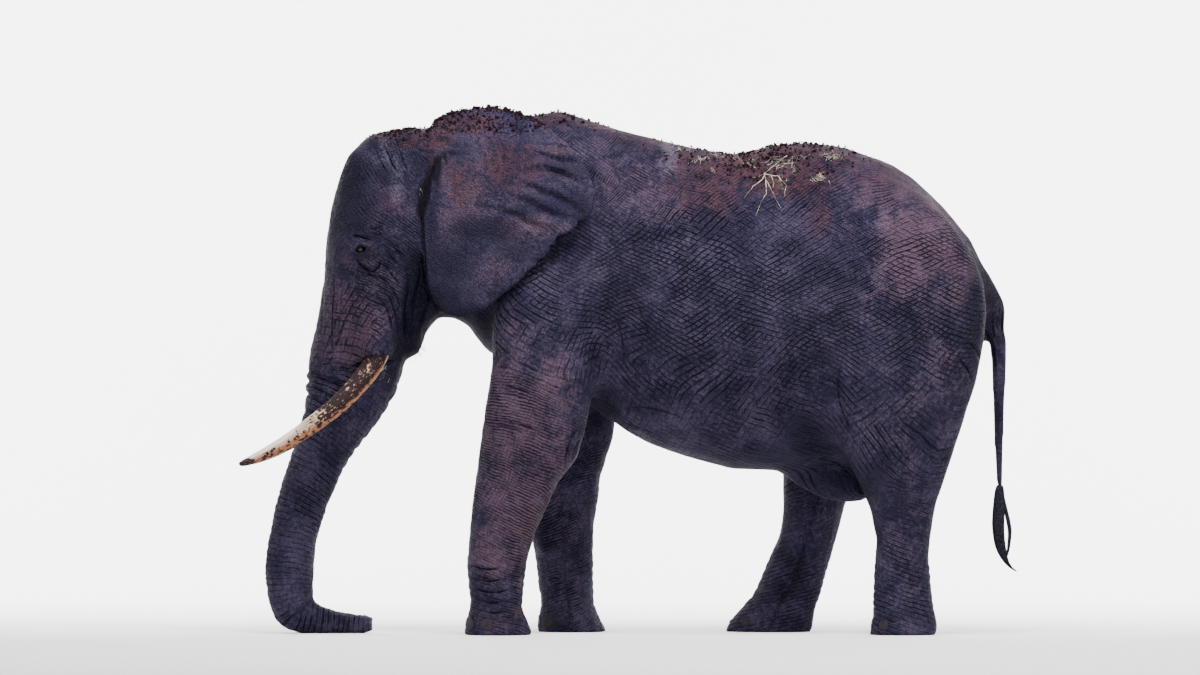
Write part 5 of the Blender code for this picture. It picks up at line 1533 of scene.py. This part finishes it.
def sprig():
    """Stalks and short blades that lie along the hide: each point of one is dropped sideways onto the hide
    and lifted by a little. A blade is a straight line bent by the square of the way from its middle."""
    skin = BVHTree.FromObject(hide, bpy.context.evaluated_depsgraph_get())
    chance = np.random.default_rng(61)
    flat, girths = [], []
    for girth, *stalk in STALKS:
        line = np.array(stalk)
        run = np.linspace(0, 1, len(line))
        at = np.linspace(0, 1, BLADE_STEPS)
        drawn = np.stack([np.interp(at, run, line[:, k]) for k in (0, 1)], axis=1)
        flat.append(drawn + chance.normal(0, 0.0012, (BLADE_STEPS, 2)))
        girths.append(girth)
    for x, z, wide, tall, slope, count in WADS:
        middle = np.array((x, z)) + chance.normal(0, 0.7, (count, 2)) * (wide, tall)
        bearing = np.arctan(slope) + chance.normal(0, 0.55, count)
        half = chance.uniform(0.15, 0.60, count) * wide + 0.005
        bent = chance.normal(0, 0.25, count)
        t = np.linspace(-1, 1, BLADE_STEPS)[:, None]
        ahead = np.stack([np.cos(bearing), np.sin(bearing)], axis=1)
        across = np.stack([-np.sin(bearing), np.cos(bearing)], axis=1)
        straight = t[..., None] * half[:, None] * ahead
        bow = (t**2)[..., None] * (bent * half)[:, None] * across
        flat.extend((middle + straight + bow).transpose(1, 0, 2))
        girths.extend(chance.uniform(*BLADE_GIRTH, count))
    middles, kept = [], []
    for rows, girth in zip(flat, girths):
        hits = [skin.ray_cast(Vector((x, -2.0, z)), Vector((0, 1, 0)))[0] for x, z in rows]
        if all(hit is not None for hit in hits):
            middles.append(np.array(hits) + (0, -1.6 * girth - 0.002, girth))
            kept.append(girth)
    middles = np.array(middles)
    hairs("grass_sprig", middles, kept, side_uv(middles[:, 0]), grass_material(), sides=5)


crumbs()
sprig()


# --------------------------------------------------------------------------------------------------
# The floor, the light and the camera of a plain studio: pale paper that curves up into a wall,
# three soft boxes over the animal, two that light the wall, and an even glow all round.

PAPER_HALF = 60.0  # metres from the middle to the paper's edges
CURVE_START, CURVE_RADIUS = 8.0, 9.0
WALL_HIGH = 40.0
PAPER_TONES = (0.80, 0.80, 0.79, 1), (0.84, 0.84, 0.83, 1)
# Each soft box: its place, what it faces, its width and height, and its power in watts.
SOFT_BOXES = {
    "top_box": ((0.8, -3.0, 9.0), (0.2, 0.0, 1.5), (5.0, 3.5), 1700),
    "side_box": ((4.0, -9.0, 6.0), (0.4, 0.0, 1.6), (3.0, 2.5), 560),
    "face_box": ((-8.0, -8.0, 4.5), (-1.0, 0.0, 1.8), (2.5, 2.5), 260),
    "wall_box_left": ((-8.0, 5.0, 11.0), (-7.0, 17.0, 4.0), (8.0, 5.0), 9000),
    "wall_box_right": ((8.0, 5.0, 11.0), (7.0, 17.0, 4.0), (8.0, 5.0), 9000),
}
GLOW = (0.93, 0.96, 1.0, 1)
GLOW_STRENGTH = 0.44
CAMERA_FAR = 45.0
CAMERA_X, CAMERA_Z = -0.187, 1.507
CAMERA_LIFT = 0.3642  # how much higher than the camera it aims, at the animal
FRAME_WIDE = 7.6008  # metres across the view at the animal
SENSOR = 36.0


def paper_material():
    """Matt pale paper. Its back lets light through, so that the animal can be looked at from behind it."""
    made = Finish("studio_paper")
    paper = made.coat(made.blend(made.cloud(3.0), *PAPER_TONES), 0.9)
    clear = made.add("ShaderNodeBsdfTransparent")
    behind = made.add("ShaderNodeNewGeometry", out="Backfacing")
    front = Value(made, made.shader.outputs[0])
    seen = made.add("ShaderNodeMixShader", {0: behind, 1: front, 2: clear})
    made.feed(made.tree.nodes["Material Output"].inputs["Surface"], seen)
    return paper


def sweep_of_paper():
    """A floor that curves up into a wall behind: a profile of depth and height carried straight across."""
    turn = np.linspace(0, np.pi / 2, 24)
    curve_depth = CURVE_START + CURVE_RADIUS * np.sin(turn)
    curve_level = CURVE_RADIUS - CURVE_RADIUS * np.cos(turn)
    depth = np.concatenate([[-PAPER_HALF, CURVE_START], curve_depth, [CURVE_START + CURVE_RADIUS]])
    level = np.concatenate([[0.0, 0.0], curve_level, [WALL_HIGH]])
    across = np.array([-PAPER_HALF, PAPER_HALF])
    grid = np.stack(np.broadcast_arrays(across[:, None], depth, level), axis=-1)
    rows = np.arange(grid.shape[0] * grid.shape[1]).reshape(grid.shape[:2])
    faces = np.stack([rows[:-1, :-1], rows[1:, :-1], rows[1:, 1:], rows[:-1, 1:]], axis=-1)
    paper = mesh_from("studio_floor", grid.reshape(-1, 3), faces.reshape(-1, 4))
    paper.data.materials.append(paper_material())


def soft_box(name, place, aim, size, power):
    """A large flat lamp that looks from its place at its aim."""
    lamp = bpy.data.lights.new(name, "AREA")
    lamp.shape = "RECTANGLE"
    lamp.size, lamp.size_y = size
    lamp.energy = power
    obj = bpy.data.objects.new(name, lamp)
    obj.location = place
    obj.rotation_euler = (Vector(aim) - Vector(place)).to_track_quat("-Z", "Y").to_euler()
    bpy.context.scene.collection.objects.link(obj)


def glow_all_round():
    """The world's even light, faintly blue."""
    world = bpy.data.worlds.new("studio_glow")
    world.use_nodes = True
    background = world.node_tree.nodes["Background"].inputs
    background["Color"].default_value = GLOW
    background["Strength"].default_value = GLOW_STRENGTH
    bpy.context.scene.world = world


def far_camera():
    """A camera far off to the animal's left, whose lens is the sensor's width times its distance over the
    width of the view."""
    data = bpy.data.cameras.new("camera")
    data.sensor_width = SENSOR
    data.lens = SENSOR * CAMERA_FAR / FRAME_WIDE
    data.clip_end = 200.0
    camera = bpy.data.objects.new("camera", data)
    camera.location = (CAMERA_X, -CAMERA_FAR, CAMERA_Z)
    camera.rotation_euler = (math.pi / 2 + math.atan(CAMERA_LIFT / CAMERA_FAR), 0.0, 0.0)
    bpy.context.scene.collection.objects.link(camera)
    bpy.context.scene.camera = camera


sweep_of_paper()
for box_name, box_row in SOFT_BOXES.items():
    soft_box(box_name, *box_row)
glow_all_round()
far_camera()
